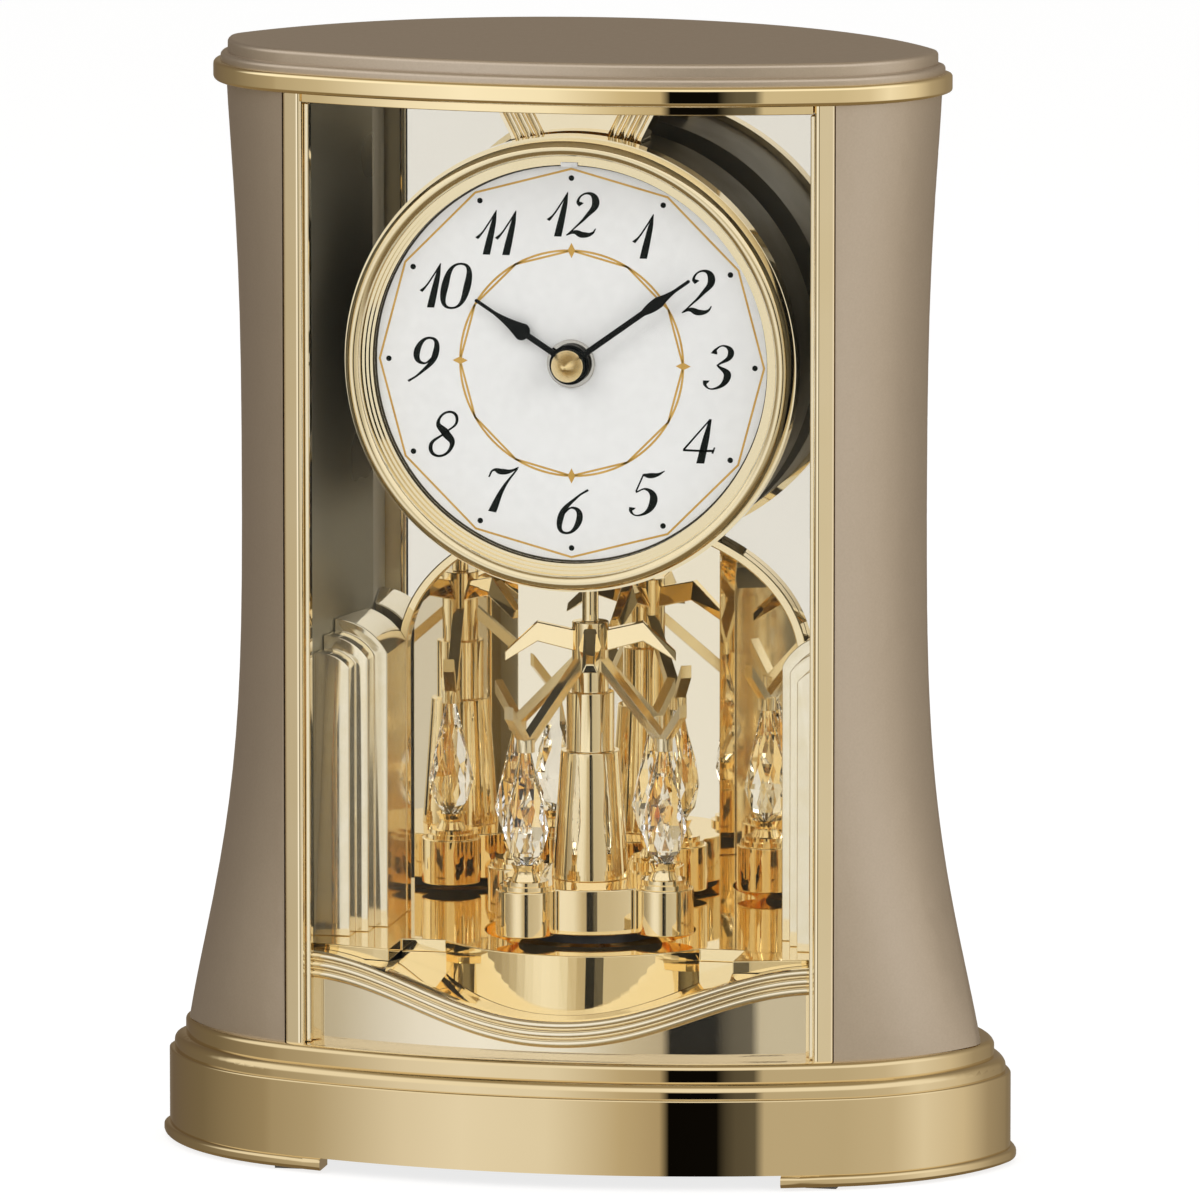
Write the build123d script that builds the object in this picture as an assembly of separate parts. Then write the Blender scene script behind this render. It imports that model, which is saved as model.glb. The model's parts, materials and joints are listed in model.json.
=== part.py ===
from build123d import *
import math
import os

# Heights of the case, from the table up
pad_height = 0.6
rail_height = 2.4
plinth_wall_height = 14.9
plinth_roll_height = 3.0
plinth_bead_height = 3.4
case_height = 186.0
band_height = 3.9
lid_step_height = 1.6
lid_top_height = 2.6

# Plan of the case
front_radius = 150.0
front_reach = 39.8
case_back = 38.0
nose_set_back = 4.0
nose_round = 7.0
waist_half_width = 68.1
waist_height = 115.7
waist_radius = 900.0
flare_drop = 29.0
flare_radius = 331.0
loft_steps = 6
panel_wall = 2.2
panel_heading = 82.0
band_overhang = 1.8
band_heading = 92.0
band_width = 12.0
lid_step = 1.4
edge_round = 0.9

# Plinth
plinth_overhang = 4.6
plinth_half_width = 84.0
plinth_heading = 80.0
plinth_nose_round = 13.0
roll_inset = 0.9
roll_round = 1.9
bead_inset = 2.9
bead_round = 1.2
nose_inset_ratio = 1.15
plinth_shell = 2.4
base_plate_height = 1.6
rail_lip = 1.0
rail_width = 7.0
rail_start = 45.5
pad_length = 6.0
pad_width = 4.0

# Glazed front
column_outer = 54.3
column_width = 4.1
column_depth = 5.0
glass_thickness = 2.0
top_rail_height = 1.7
top_rail_depth = 3.6
ceiling_height = 2.0

# Room behind the glass
room_taper = 6.9
wall_thickness = 0.8
mirror_face = 17.0
mirror_thickness = 1.5
arch_margin = 7.5
arch_rise = 26.5
arch_drop = 8.5
arch_trim_width = 1.8
arch_trim_depth = 3.4
alcove_margin = 0.4
alcove_centre_half = 20.2
alcove_depth = 30.5
alcove_headroom = 1.0
stage_height = 18.7
deck_thickness = 2.5
podium_gap = 3.5
podium_wall = 2.5
well_radius = 20.5
well_depth = 7.0
well_floor = 2.0
trench_half_width = 34.0

# Wave apron behind the glass
apron_gap = 2.6
apron_side_gap = 0.8
apron_thickness = 3.0
apron_end_height = 17.6
apron_low_height = 7.0
rib_count = 3
rib_pitch = 1.75
rib_width = 1.45
rib_reach = 0.8
rib_edge = 0.2

# Nested organ-pipe blocks at the two side walls
pipe_reaches = (2.2, 4.7, 7.3)
pipe_fronts = (-15.6, -10.0, -4.0)
pipe_heights = (55.8, 58.4, 60.8)
pipe_spring = 48.8

# Dial drum, measured forward of the pendulum room's origin
dial_face = 16.5
dial_thickness = 0.8
dial_margin = 1.2
dial_hole = 3.75
drum_gap = 3.3
drum_wall = 2.0
drum_back = 9.0
neck_radius = 9.0
neck_wall = 2.0
bezel_overhang = 1.3
bezel_cover = 4.3
bezel_height = 5.5
bezel_lap = 1.7
bezel_flange = 0.7
bezel_flange_height = 1.7
bezel_step_count = 3
bezel_step_run = 0.65
bezel_step_drop = 0.7
bezel_bead_height = 4.1
hanger_drop = 7.9
hanger_top_half = 16.8
hanger_low_half = 12.8
hanger_front = 12.0
hanger_back = 2.0
hanger_flute = 0.85
hanger_flute_pitch = 2.2
hanger_flute_count = 3

# Movement and motion work
movement_side = 56.0
movement_depth = 16.0
movement_wall = 1.5
gear_module = 0.5
cannon_teeth = 10
setting_teeth = 30
pinion_teeth = 8
hour_teeth = 32
addendum_ratio = 0.75
dedendum_ratio = 1.1
tooth_share = 0.36
wheel_thickness = 1.0
wheel_gap = 1.9
arbor_radius = 1.2
hour_pipe_radius = 2.4
bush_radius = 3.6
nut_radius = 4.7
nut_height = 0.8
setting_shaft_radius = 1.0
knob_radius = 6.0
knob_height = 4.0

# Hands at about nine minutes past ten
hour_hand_length = 22.3
minute_hand_length = 29.4
hour_leaf = (1.7, 0.44, 0.51, 0.80)
minute_leaf = (1.1, 0.62, 0.75, 0.88)
hand_stem_half = 0.58
hand_needle_half = 0.33
hour_hand_angle = 303.0
minute_hand_angle = 54.3
hand_thickness = 0.5
hand_boss_height = 1.5
hour_boss_radius = 3.9
minute_boss_radius = 3.3
cap_radius = 3.1
cap_height = 4.2

# Battery
cell_radius = 5.2
cell_length = 44.5
cell_button_height = 1.0
cell_button_radius = 1.9
cell_gap = 0.4
tray_wall = 1.2
tray_gap = 1.0
door_margin = 1.5
door_above_knob = 2.7

# Revolving pendulum
pendulum_back = 2.0
platform_lift = 1.5
platform_thickness = 9.0
platform_centre_radius = 17.0
lobe_ring = 19.0
lobe_radius = 5.9
lobe_angle = 60.0
cup_radius = 5.2
cup_step = 0.8
cup_step_height = 0.85
collar_radius = 2.9
collar_waist = 2.2
collar_height = 3.2
crystal_share = 0.604
crystal_radius = 4.5
crystal_girdles = ((0.0, 0.38), (0.11, 0.76), (0.30, 1.0), (0.53, 0.80), (0.78, 0.48), (1.0, 0.24))
crystal_sides = 8
column_foot_radius = 7.6
column_neck_radius = 5.8
column_collar_radius = 4.7
column_collar_height = 11.6
column_hub_radius = 3.6
column_hub_height = 13.8
stem_radius = 1.6
stem_height = 10.0
fork_width = 2.2
fork_bar = 1.7
fork_stub_reach = 5.0
fork_stub_rise = 6.5
fork_hub_drop = 7.5
wing_angle = 11.0
wing_reach = 17.0
wing_peak_reach = 10.3
wing_root_drop = 3.4
wing_tip_drop = 7.2
wing_bar = 3.2
wing_tip_bar = 0.9
wing_width = 4.5
pivot_radius = 1.2
pivot_bush_radius = 4.0
pivot_bush_height = 5.0
guide_bush_radius = 4.0
guide_bush_drop = 3.5
coil_outer = 16.0
coil_inner = 6.5
coil_height = 5.0
magnet_outer = 14.0
magnet_inner = 8.0
magnet_height = 2.0

# Fits
running_clearance = 0.05
seat_clearance = 0.02
seam = 0.1
end_play = 0.1

# Levels that follow from the heights
plinth_base = pad_height + rail_height
roll_base = plinth_base + plinth_wall_height
bead_base = roll_base + plinth_roll_height
plinth_top = bead_base + plinth_bead_height
case_top = plinth_top + case_height
band_top = case_top + band_height
ceiling_base = case_top - ceiling_height
rail_base = case_top - top_rail_height
waist_level = plinth_top + waist_height
stage_top = plinth_top + stage_height
column_inner = column_outer - column_width
glass_half = column_inner - seam
wall_front = column_outer - wall_thickness - seam
wall_back = wall_front - room_taper
apron_half = column_inner - apron_side_gap
apron_back = glass_thickness + apron_gap + apron_thickness
arch_half_width = wall_back - arch_margin
alcove_half_width = arch_half_width - alcove_margin
podium_radius = front_reach + pendulum_back - apron_back - podium_gap

# Dial, hung from the ceiling between the side walls
drum_radius = wall_back - drum_gap
dial_radius = drum_radius - dial_margin
bezel_outer = drum_radius + bezel_overhang
bezel_inner = drum_radius - bezel_cover
dial_height = ceiling_base - hanger_drop - drum_radius
drum_low = dial_height - drum_radius

# Levels of the pendulum, between the stage and the drum
platform_base = stage_top + platform_lift
platform_top = platform_base + platform_thickness
cup_top = platform_top + 2 * cup_step_height
crystal_base = cup_top + collar_height
hub_top = drum_low - stem_height
hub_base = hub_top - column_hub_height
collar_base = hub_base - column_collar_height
fork_level = hub_top - fork_hub_drop
arch_level = hub_top - arch_drop
crystal_height = crystal_share * (fork_level - fork_bar - crystal_base)
crystal_top = crystal_base + crystal_height
well_base = stage_top - well_depth

# Places along the dial's own axis, forward of the origin
dial_rear = dial_face - dial_thickness
movement_rear = dial_rear - movement_depth
plate_rear = dial_rear - movement_wall
hour_wheel_front = plate_rear - end_play
hour_wheel_rear = hour_wheel_front - wheel_thickness
setting_wheel_front = hour_wheel_rear - wheel_gap
setting_wheel_rear = setting_wheel_front - wheel_thickness
bezel_front = dial_face + bezel_height
bezel_flange_front = dial_face + bezel_flange_height
bezel_bead_low = dial_face + bezel_bead_height
nut_front = dial_face + nut_height
hour_boss_rear = nut_front + end_play
hour_boss_front = hour_boss_rear + hand_boss_height
minute_boss_rear = hour_boss_front + end_play
minute_boss_front = minute_boss_rear + hand_boss_height
mesh_distance = gear_module * (cannon_teeth + setting_teeth) / 2
shaft_level = dial_height - mesh_distance
cell_level = shaft_level + knob_radius + door_above_knob + door_margin + cell_gap + cell_radius

# Where the dial, the setting shaft and the pendulum stand
dial_frame = Pos(0, 0, dial_height) * Rot(90, 0, 0)
setting_frame = dial_frame * Pos(0, -mesh_distance, 0)
pendulum_frame = Pos(0, pendulum_back, 0)


def front_y(x, grow=0.0):
    """Depth of the bowed front at x, grown outward by the given amount."""
    radius = front_radius + grow
    return radius - front_reach - grow - math.sqrt(radius**2 - x**2)


def arc_arriving(start, end, heading):
    """Arc from start to end that arrives at the given heading in degrees."""
    run = end[0] - start[0]
    rise = end[1] - start[1]
    chord = math.atan2(rise, run)
    bulge = math.hypot(run, rise) / 2 * math.tan((math.radians(heading) - chord) / 2)
    middle_x = (start[0] + end[0]) / 2 + bulge * math.sin(chord)
    middle_y = (start[1] + end[1]) / 2 - bulge * math.cos(chord)
    return ThreePointArc(start, (middle_x, middle_y), end)


def bowed_front(nose_x, nose_y, grow, heading):
    """Front arc between the columns and the two arcs that run on to the noses.

    The side arcs reach the noses at the heading, or at less where they would hollow the plan at the columns.
    """
    lean = math.asin(column_outer / front_radius)
    corner_x = column_outer + grow * math.sin(lean)
    corner_y = front_y(column_outer) - grow * math.cos(lean)
    front = ThreePointArc((-corner_x, corner_y), (0, -front_reach - grow), (corner_x, corner_y))
    chord = math.atan2(nose_y - corner_y, nose_x - corner_x)
    tangent_heading = math.degrees(2 * chord - lean)
    right = arc_arriving((corner_x, corner_y), (nose_x, nose_y), min(heading, tangent_heading))
    return [front, right, mirror(right, about=Plane.YZ)]


def round_noses(outline, nose_x, radius):
    """Round the two side noses of a plan outline."""
    noses = [corner for corner in outline.vertices() if abs(abs(corner.X) - nose_x) < 0.001]
    return fillet(noses, radius)


def case_plan(half_width, grow, heading):
    """Plan of the waisted case: bowed front, sharper bowed back."""
    nose_x = half_width + grow
    back = ThreePointArc((nose_x, -nose_set_back), (0, case_back + grow), (-nose_x, -nose_set_back))
    edges = bowed_front(nose_x, -nose_set_back, grow, heading)
    return round_noses(make_face(edges + [back]), nose_x, nose_round)


def plinth_plan(inset):
    """Plan of the plinth, alike at front and back."""
    nose_x = plinth_half_width - inset * nose_inset_ratio
    front = bowed_front(nose_x, 0, plinth_overhang - inset, plinth_heading)
    back = [mirror(edge, about=Plane.XZ) for edge in front]
    return round_noses(make_face(front + back), nose_x, plinth_nose_round - inset)


def front_band(grow_out, grow_in, half_width):
    """Strip of the bowed front between two offsets, in plan."""
    outer = ThreePointArc(
        (-half_width, front_y(half_width, grow_out)),
        (0, front_y(0, grow_out)),
        (half_width, front_y(half_width, grow_out)),
    )
    inner = ThreePointArc(
        (-half_width, front_y(half_width, grow_in)),
        (0, front_y(0, grow_in)),
        (half_width, front_y(half_width, grow_in)),
    )
    right = Line(outer @ 1, inner @ 1)
    left = Line(inner @ 0, outer @ 0)
    return make_face([outer, right, inner, left])


def raised(plan, base, height):
    """Extrude a plan upward from a level."""
    return extrude(Pos(0, 0, base) * plan, amount=height)


def slab(x0, x1, y0, y1, z0, z1):
    """Box between two corners."""
    size = Box(x1 - x0, y1 - y0, z1 - z0)
    return Pos((x0 + x1) / 2, (y0 + y1) / 2, (z0 + z1) / 2) * size


def post(radius, base, top):
    """Upright cylinder between two levels."""
    return Pos(0, 0, (base + top) / 2) * Cylinder(radius, top - base)


def ring(outer, inner, base, top):
    """Upright ring between two levels."""
    return post(outer, base, top) - post(inner, base, top)


def turned(points):
    """Revolve a closed outline of radius and height points about the Z axis."""
    outline = Polyline([(radius, 0, level) for radius, level in points], close=True)
    return revolve(make_face(outline), axis=Axis.Z)


def pair(shape):
    """The shape and its mirror image across the middle plane."""
    return [shape, mirror(shape, about=Plane.YZ)]


def around(shape, count, first_angle):
    """Copies of a shape set round the Z axis."""
    return [Rot(0, 0, first_angle + step * 360 / count) * shape for step in range(count)]


def case_half_width(level):
    """Half width of the sides at a level: a slow arc over the waist, straight, then a flare to the foot."""
    above = max(level - waist_level, 0)
    below = max(waist_level - flare_drop - level, 0)
    spread = waist_radius - math.sqrt(waist_radius**2 - above**2)
    flare = flare_radius - math.sqrt(flare_radius**2 - below**2)
    return waist_half_width + spread + flare


def case_body(grow):
    """Waisted body between plinth and band, lofted through plans at even levels."""
    levels = [plinth_top + case_height * step / loft_steps for step in range(loft_steps + 1)]
    plans = [Pos(0, 0, level) * case_plan(case_half_width(level), grow, panel_heading) for level in levels]
    return loft(plans)


def case_shell():
    """Hollow waisted body from which the side panels and the back are cut."""
    return case_body(0) - case_body(-panel_wall)


def foot_pads():
    """Four thin pads under the foot rails."""
    pad_x = rail_start + rail_width
    pad_y = front_y(pad_x) - plinth_overhang + rail_width / 2
    pad = Box(pad_length, pad_width, pad_height)
    places = [(x, y) for x in (-pad_x, pad_x) for y in (pad_y, -pad_y)]
    return [Pos(x, y, pad_height / 2) * pad for x, y in places]


def foot_rails():
    """Gold rails under the two ends of the plinth."""
    hoop = raised(plinth_plan(-rail_lip), pad_height, rail_height)
    hoop = fillet(hoop.edges().group_by(Axis.Z)[-1] + hoop.edges().group_by(Axis.Z)[0], edge_round)
    hoop -= raised(plinth_plan(rail_width - rail_lip), pad_height, rail_height)
    reach = plinth_half_width * 2
    end = slab(rail_start, reach, -reach, reach, 0, plinth_base)
    return pair(hoop & end)


def base_plate():
    """Bottom plate that closes the plinth."""
    return raised(plinth_plan(plinth_shell + seam), plinth_base, base_plate_height)


def base_plinth():
    """Hollow plinth: an upright wall, then two rounded steps."""
    wall = raised(plinth_plan(0), plinth_base, plinth_wall_height)
    wall = fillet(wall.edges().group_by(Axis.Z)[-1], edge_round / 2)
    roll = raised(plinth_plan(roll_inset), roll_base, plinth_roll_height)
    roll = fillet(roll.edges().group_by(Axis.Z)[-1], roll_round)
    bead = raised(plinth_plan(bead_inset), bead_base, plinth_bead_height)
    bead = fillet(bead.edges().group_by(Axis.Z)[-1], bead_round)
    low_room = raised(plinth_plan(plinth_shell), plinth_base, plinth_wall_height)
    high_room_height = plinth_roll_height + plinth_bead_height - plinth_shell
    high_room = raised(plinth_plan(bead_inset + plinth_shell), roll_base, high_room_height)
    return wall + roll + bead - low_room - high_room


def side_panels(shell):
    """The two waisted side panels, right one first."""
    reach = plinth_half_width * 2
    side = slab(column_outer, reach, -reach, reach, plinth_top, case_top)
    right = shell & side
    return right, mirror(right, about=Plane.YZ)


def columns():
    """Slim columns at each side of the glass, right one first."""
    outer = column_outer - seam
    rear = front_y(column_inner) + column_depth
    corners = [
        (column_inner, front_y(column_inner)),
        (outer, front_y(outer)),
        (outer, rear),
        (column_inner, rear),
    ]
    right = raised(make_face(Polyline(corners, close=True)), plinth_top, case_height)
    front_edges = right.edges().filter_by(Axis.Z).sort_by(Axis.Y)[:2]
    right = fillet(front_edges, edge_round)
    return right, mirror(right, about=Plane.YZ)


def front_glass():
    """Bowed pane between the columns."""
    plan = front_band(0, -glass_thickness, glass_half)
    return raised(plan, plinth_top, case_height - top_rail_height)


def top_rail():
    """Thin rail over the pane."""
    return raised(front_band(0, -top_rail_depth, glass_half), rail_base, top_rail_height)


def top_band():
    """Gold band round the top of the case."""
    half_width = case_half_width(case_top)
    band = raised(case_plan(half_width, band_overhang, band_heading), case_top, band_height)
    rims = band.edges().group_by(Axis.Z)
    band = fillet(rims[0] + rims[-1], edge_round)
    return band - raised(case_plan(half_width, band_overhang - band_width, band_heading), case_top, band_height)


def top_lid():
    """Flat lid with a stepped edge."""
    half_width = case_half_width(case_top)
    low_plan = case_plan(half_width, band_overhang - lid_step, band_heading)
    high_plan = case_plan(half_width, band_overhang - 2 * lid_step, band_heading)
    low = raised(low_plan, band_top, lid_step_height)
    low = fillet(low.edges().group_by(Axis.Z)[-1], edge_round)
    high = raised(high_plan, band_top + lid_step_height, lid_top_height)
    return low + fillet(high.edges().group_by(Axis.Z)[-1], edge_round)


def ceiling_plate():
    """Plate that closes the room from above."""
    half_width = case_half_width(case_top)
    inset = top_rail_depth + seam
    return raised(case_plan(half_width, -inset - panel_wall, panel_heading), ceiling_base, ceiling_height)


def door_box(margin):
    """Space of the battery door, grown by a margin."""
    grow = cell_gap + door_margin + margin
    half_width = cell_length / 2 + grow
    half_height = cell_radius + grow
    return slab(-half_width, half_width, 0, 2 * case_back, cell_level - half_height, cell_level + half_height)


def back_cover(shell):
    """Curved back with the battery opening and the hole of the setting shaft."""
    half_width = column_outer - seam
    cover = shell & slab(-half_width, half_width, 0, 2 * case_back, plinth_top, case_top)
    shaft = setting_frame * post(setting_shaft_radius + running_clearance, -2 * case_back, 0)
    return cover - door_box(0) - shaft


def battery_door(shell):
    """Snap-in door, flush with the back."""
    return shell & door_box(-seam)


def battery_tray():
    """Open tray that holds the cell level behind the mirror."""
    room = cell_length / 2 + cell_gap
    half_height = cell_radius + cell_gap
    front = mirror_face + mirror_thickness
    low = cell_level - half_height
    high = cell_level + half_height
    box = slab(-room - tray_wall, room + tray_wall, front, case_back, low - tray_wall, high + tray_wall)
    box -= slab(-room, room, front + tray_wall, case_back, low, high)
    return box & case_body(-panel_wall - tray_gap)


def battery_cell():
    """Level cell with its end button."""
    centre = mirror_face + mirror_thickness + tray_wall + cell_gap / 2 + cell_radius
    end = cell_length / 2
    shoulder = end - cell_button_height
    body = post(cell_radius, -end, shoulder) + post(cell_button_radius, shoulder, end)
    return Pos(0, centre, cell_level) * Rot(0, 90, 0) * body


def room_plan(grow):
    """Plan of the room between the two side mirrors."""
    front = front_y(column_inner) + column_depth
    corners = [
        (-wall_front - grow, front),
        (wall_front + grow, front),
        (wall_back + grow, mirror_face),
        (-wall_back - grow, mirror_face),
    ]
    return make_face(Polyline(corners, close=True))


def inner_walls():
    """Smoky side mirrors, right one first."""
    height = ceiling_base - plinth_top
    walls = raised(room_plan(wall_thickness), plinth_top, height) - raised(room_plan(0), plinth_top, height)
    right = walls & slab(0, 2 * column_outer, -column_outer, column_outer, plinth_top, case_top)
    return right, mirror(right, about=Plane.YZ)


def arch(grow, depth_from, depth_to):
    """Arched doorway solid from the stage up, grown by a margin."""
    half_width = arch_half_width + grow
    legs = slab(-half_width, half_width, depth_from, depth_to, stage_top, arch_level)
    crown = Pos(0, depth_to, arch_level) * Rot(90, 0, 0) * extrude(
        Ellipse(half_width, arch_rise + grow), amount=depth_to - depth_from
    )
    return legs + (crown & slab(-half_width, half_width, depth_from, depth_to, arch_level, case_top))


def back_mirror():
    """Flat mirror with an arched doorway and a hole for the dial's neck."""
    back = mirror_face + mirror_thickness
    plate = slab(-wall_back, wall_back, mirror_face, back, stage_top, ceiling_base)
    neck = setting_frame * post(neck_radius - neck_wall, -2 * case_back, 0)
    return plate - arch(0, mirror_face, back) - neck


def arch_trim():
    """Raised frame round the doorway."""
    front = mirror_face - arch_trim_depth
    return arch(arch_trim_width, front, mirror_face) - arch(0, front, mirror_face)


def alcove_plan(grow):
    """Plan of the three-sided alcove behind the doorway."""
    front = mirror_face + mirror_thickness
    corners = [
        (-alcove_half_width - grow, front),
        (alcove_half_width + grow, front),
        (alcove_centre_half + grow / 2, alcove_depth + grow),
        (-alcove_centre_half - grow / 2, alcove_depth + grow),
    ]
    return make_face(Polyline(corners, close=True))


def alcove_mirror():
    """Three mirror facets and their cover behind the doorway."""
    height = arch_level + arch_rise + alcove_headroom - stage_top
    shell = raised(alcove_plan(wall_thickness), stage_top, height + wall_thickness)
    return shell - raised(alcove_plan(0), stage_top, height)


def stage_floor():
    """Deck, round podium and well under the pendulum."""
    deck_base = stage_top - deck_thickness
    front = front_y(column_inner) + column_depth
    rear = mirror_face + mirror_thickness
    apron_rear = -apron_back - seam
    deck = raised(room_plan(-seam), deck_base, deck_thickness)
    deck += slab(-wall_back + seam, wall_back - seam, mirror_face, rear, deck_base, stage_top)
    deck += raised(alcove_plan(wall_thickness), deck_base, deck_thickness)
    shelf = raised(front_band(apron_rear, -front_reach, glass_half), deck_base, deck_thickness)
    deck += shelf & slab(-glass_half, glass_half, -front_reach, front, deck_base, stage_top)
    deck -= slab(-trench_half_width, trench_half_width, -front_reach, pipe_fronts[0], deck_base, stage_top)
    deck -= raised(front_band(0, apron_rear, column_outer), deck_base, deck_thickness)
    podium = ring(podium_radius, podium_radius - podium_wall, plinth_top, deck_base)
    podium += post(podium_radius, deck_base, stage_top)
    podium -= post(well_radius, deck_base, stage_top)
    podium += ring(well_radius + podium_wall, well_radius, well_base - well_floor, stage_top)
    podium += post(well_radius, well_base - well_floor, well_base)
    hollow = pendulum_frame * post(well_radius, deck_base, stage_top)
    return deck - hollow + pendulum_frame * podium


def wave_slice(drop):
    """Upright slice under the wave line, lowered by a drop."""
    ends = plinth_top + apron_end_height - drop
    low = plinth_top + apron_low_height - drop
    half = apron_half
    points = [(-half, ends), (-half / 2, (ends + low) / 2), (0, low), (half / 2, (ends + low) / 2), (half, ends)]
    wave = Spline([(x, 0, z) for x, z in points], tangents=[(1, 0, 0), (1, 0, 0)])
    base = Polyline([(half, 0, ends), (half, 0, plinth_top), (-half, 0, plinth_top), (-half, 0, ends)])
    return extrude(make_face([wave, base]), amount=2 * front_reach, dir=(0, -1, 0))


def wave_apron():
    """Bowed apron with a wave top, ribs that follow it and a ledge back to the podium."""
    face = -glass_thickness - apron_gap
    plan = front_band(face, face - apron_thickness, apron_half)
    apron = raised(plan, plinth_top, stage_height)
    ledge_half = trench_half_width - seam
    ledge = slab(-ledge_half, ledge_half, -front_reach, pipe_fronts[0] - seam, plinth_top, stage_top)
    ledge -= raised(front_band(front_reach, face, column_outer), plinth_top, stage_height)
    ledge -= pendulum_frame * post(podium_radius + seam, plinth_top, stage_top)
    apron = (apron + ledge) & wave_slice(0)
    rib_plan = front_band(face + rib_reach, face, apron_half)
    for step in range(rib_count):
        drop = rib_edge + step * rib_pitch
        rib = raised(rib_plan, plinth_top, stage_height) & wave_slice(drop)
        apron += rib - wave_slice(drop + rib_width)
    return apron


def pipe_blocks():
    """Three nested half-lancet slabs at each side wall, right block first."""
    rears = pipe_fronts[1:] + (mirror_face - arch_trim_depth - seam,)
    spring = stage_top + pipe_spring
    block = None
    for reach, front, rear, height in zip(pipe_reaches, pipe_fronts, rears, pipe_heights):
        edge = wall_back - reach
        crown = Cylinder(height - pipe_spring, rear - front)
        crown = Pos(wall_back + room_taper / 2, (front + rear) / 2, spring) * Rot(90, 0, 0) * crown
        layer = slab(edge, column_outer, front, rear, stage_top, spring)
        layer += crown & slab(edge, column_outer, front, rear, spring, stage_top + height)
        block = layer if block is None else block + layer
    right = block & raised(room_plan(-seam), stage_top, case_height / 2)
    return right, mirror(right, about=Plane.YZ)


def hanger_bracket():
    """Fluted keystone that carries the drum from the ceiling."""
    drum_top = dial_height + drum_radius
    corners = [
        (-hanger_low_half, dial_height),
        (hanger_low_half, dial_height),
        (hanger_low_half, drum_top),
        (hanger_top_half, ceiling_base),
        (-hanger_top_half, ceiling_base),
        (-hanger_low_half, drum_top),
    ]
    outline = Polyline([(x, -hanger_front, z) for x, z in corners], close=True)
    keystone = extrude(make_face(outline), amount=hanger_front - hanger_back, dir=(0, 1, 0))
    slope = math.degrees(math.atan((hanger_top_half - hanger_low_half) / hanger_drop))
    flute = Rot(0, slope, 0) * post(hanger_flute, -drum_radius, drum_radius)
    for step in range(hanger_flute_count):
        x = hanger_low_half - 2 * hanger_flute - step * hanger_flute_pitch
        for groove in pair(Pos(x, -hanger_front, drum_top) * flute):
            keystone -= groove
    return keystone - dial_frame * post(drum_radius, -front_reach, front_reach)


def dial_drum():
    """Drum behind the dial, with the neck that meets the mirror."""
    drum = ring(drum_radius, drum_radius - drum_wall, -drum_back, dial_rear)
    drum += post(drum_radius - drum_wall, -drum_back, -drum_back + drum_wall)
    neck = ring(neck_radius, neck_radius - neck_wall, -mirror_face, -drum_back)
    bore = post(neck_radius - neck_wall, -mirror_face, 0)
    offset = Pos(0, -mesh_distance, 0)
    return dial_frame * (drum + offset * neck - offset * bore)


def dial_bezel():
    """Turned ring round the dial: a flange, a convex bead and fine steps down to the dial."""
    lap = drum_radius + seam
    bead_outer = bezel_outer - bezel_flange
    bead_inner = bezel_inner + bezel_step_count * bezel_step_run
    corners = [
        (bead_outer, bezel_bead_low),
        (bead_outer, bezel_flange_front),
        (bezel_outer, bezel_flange_front),
        (bezel_outer, dial_rear - bezel_lap),
        (lap, dial_rear - bezel_lap),
        (lap, dial_face),
        (bezel_inner, dial_face),
    ]
    for step in range(bezel_step_count):
        radius = bezel_inner + step * bezel_step_run
        level = bezel_bead_low - (bezel_step_count - step) * bezel_step_drop
        corners += [(radius, level), (radius + bezel_step_run, level)]
    corners.append((bead_inner, bezel_bead_low))
    steps = Polyline([(radius, 0, level) for radius, level in corners])
    bead = ThreePointArc(steps @ 1, ((bead_inner + bead_outer) / 2, 0, bezel_front), steps @ 0)
    return dial_frame * revolve(make_face([steps, bead]), axis=Axis.Z)


def dial_plate():
    """Flat white disc held between drum and bezel."""
    return dial_frame * ring(dial_radius, dial_hole, dial_rear, dial_face)


def movement_case():
    """Square tub of the movement, open to the front."""
    side = movement_side / 2
    room = side - movement_wall
    floor = movement_rear + movement_wall
    tub = slab(-side, side, -side, side, movement_rear, plate_rear)
    tub -= slab(-room, room, -room, room, floor, plate_rear)
    boss_top = setting_wheel_rear - 2 * wheel_thickness
    tub += post(2 * arbor_radius, floor, boss_top)
    tub -= post(arbor_radius + running_clearance, floor, boss_top)
    tub -= Pos(0, -mesh_distance, 0) * post(setting_shaft_radius + running_clearance, movement_rear, floor)
    return dial_frame * tub


def movement_plate():
    """Front plate of the movement with the centre bush."""
    side = movement_side / 2
    plate = slab(-side, side, -side, side, plate_rear, dial_rear)
    plate += post(bush_radius, dial_rear, nut_front)
    return dial_frame * (plate - post(hour_pipe_radius + running_clearance, plate_rear, nut_front))


def centre_nut():
    """Bright nut that clamps the movement to the dial."""
    nut = ring(nut_radius, bush_radius + seat_clearance, dial_face, nut_front)
    return dial_frame * nut


def gear_face(teeth, tooth_angle):
    """Toothed outline with one tooth centred at the given angle."""
    pitch = gear_module * teeth / 2
    tip = pitch + addendum_ratio * gear_module
    root = pitch - dedendum_ratio * gear_module
    share = 360 / teeth
    points = []
    for tooth in range(teeth):
        middle = tooth_angle + tooth * share
        flanks = ((root, -tooth_share), (tip, -tooth_share / 2), (tip, tooth_share / 2), (root, tooth_share))
        for radius, offset in flanks:
            angle = math.radians(middle + offset * share * 0.8)
            points.append((radius * math.cos(angle), radius * math.sin(angle)))
    return make_face(Polyline(points, close=True))


def gear(teeth, tooth_angle, rear, front):
    """Toothed wheel between two places along the dial's axis."""
    return raised(gear_face(teeth, tooth_angle), rear, front - rear)


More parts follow.
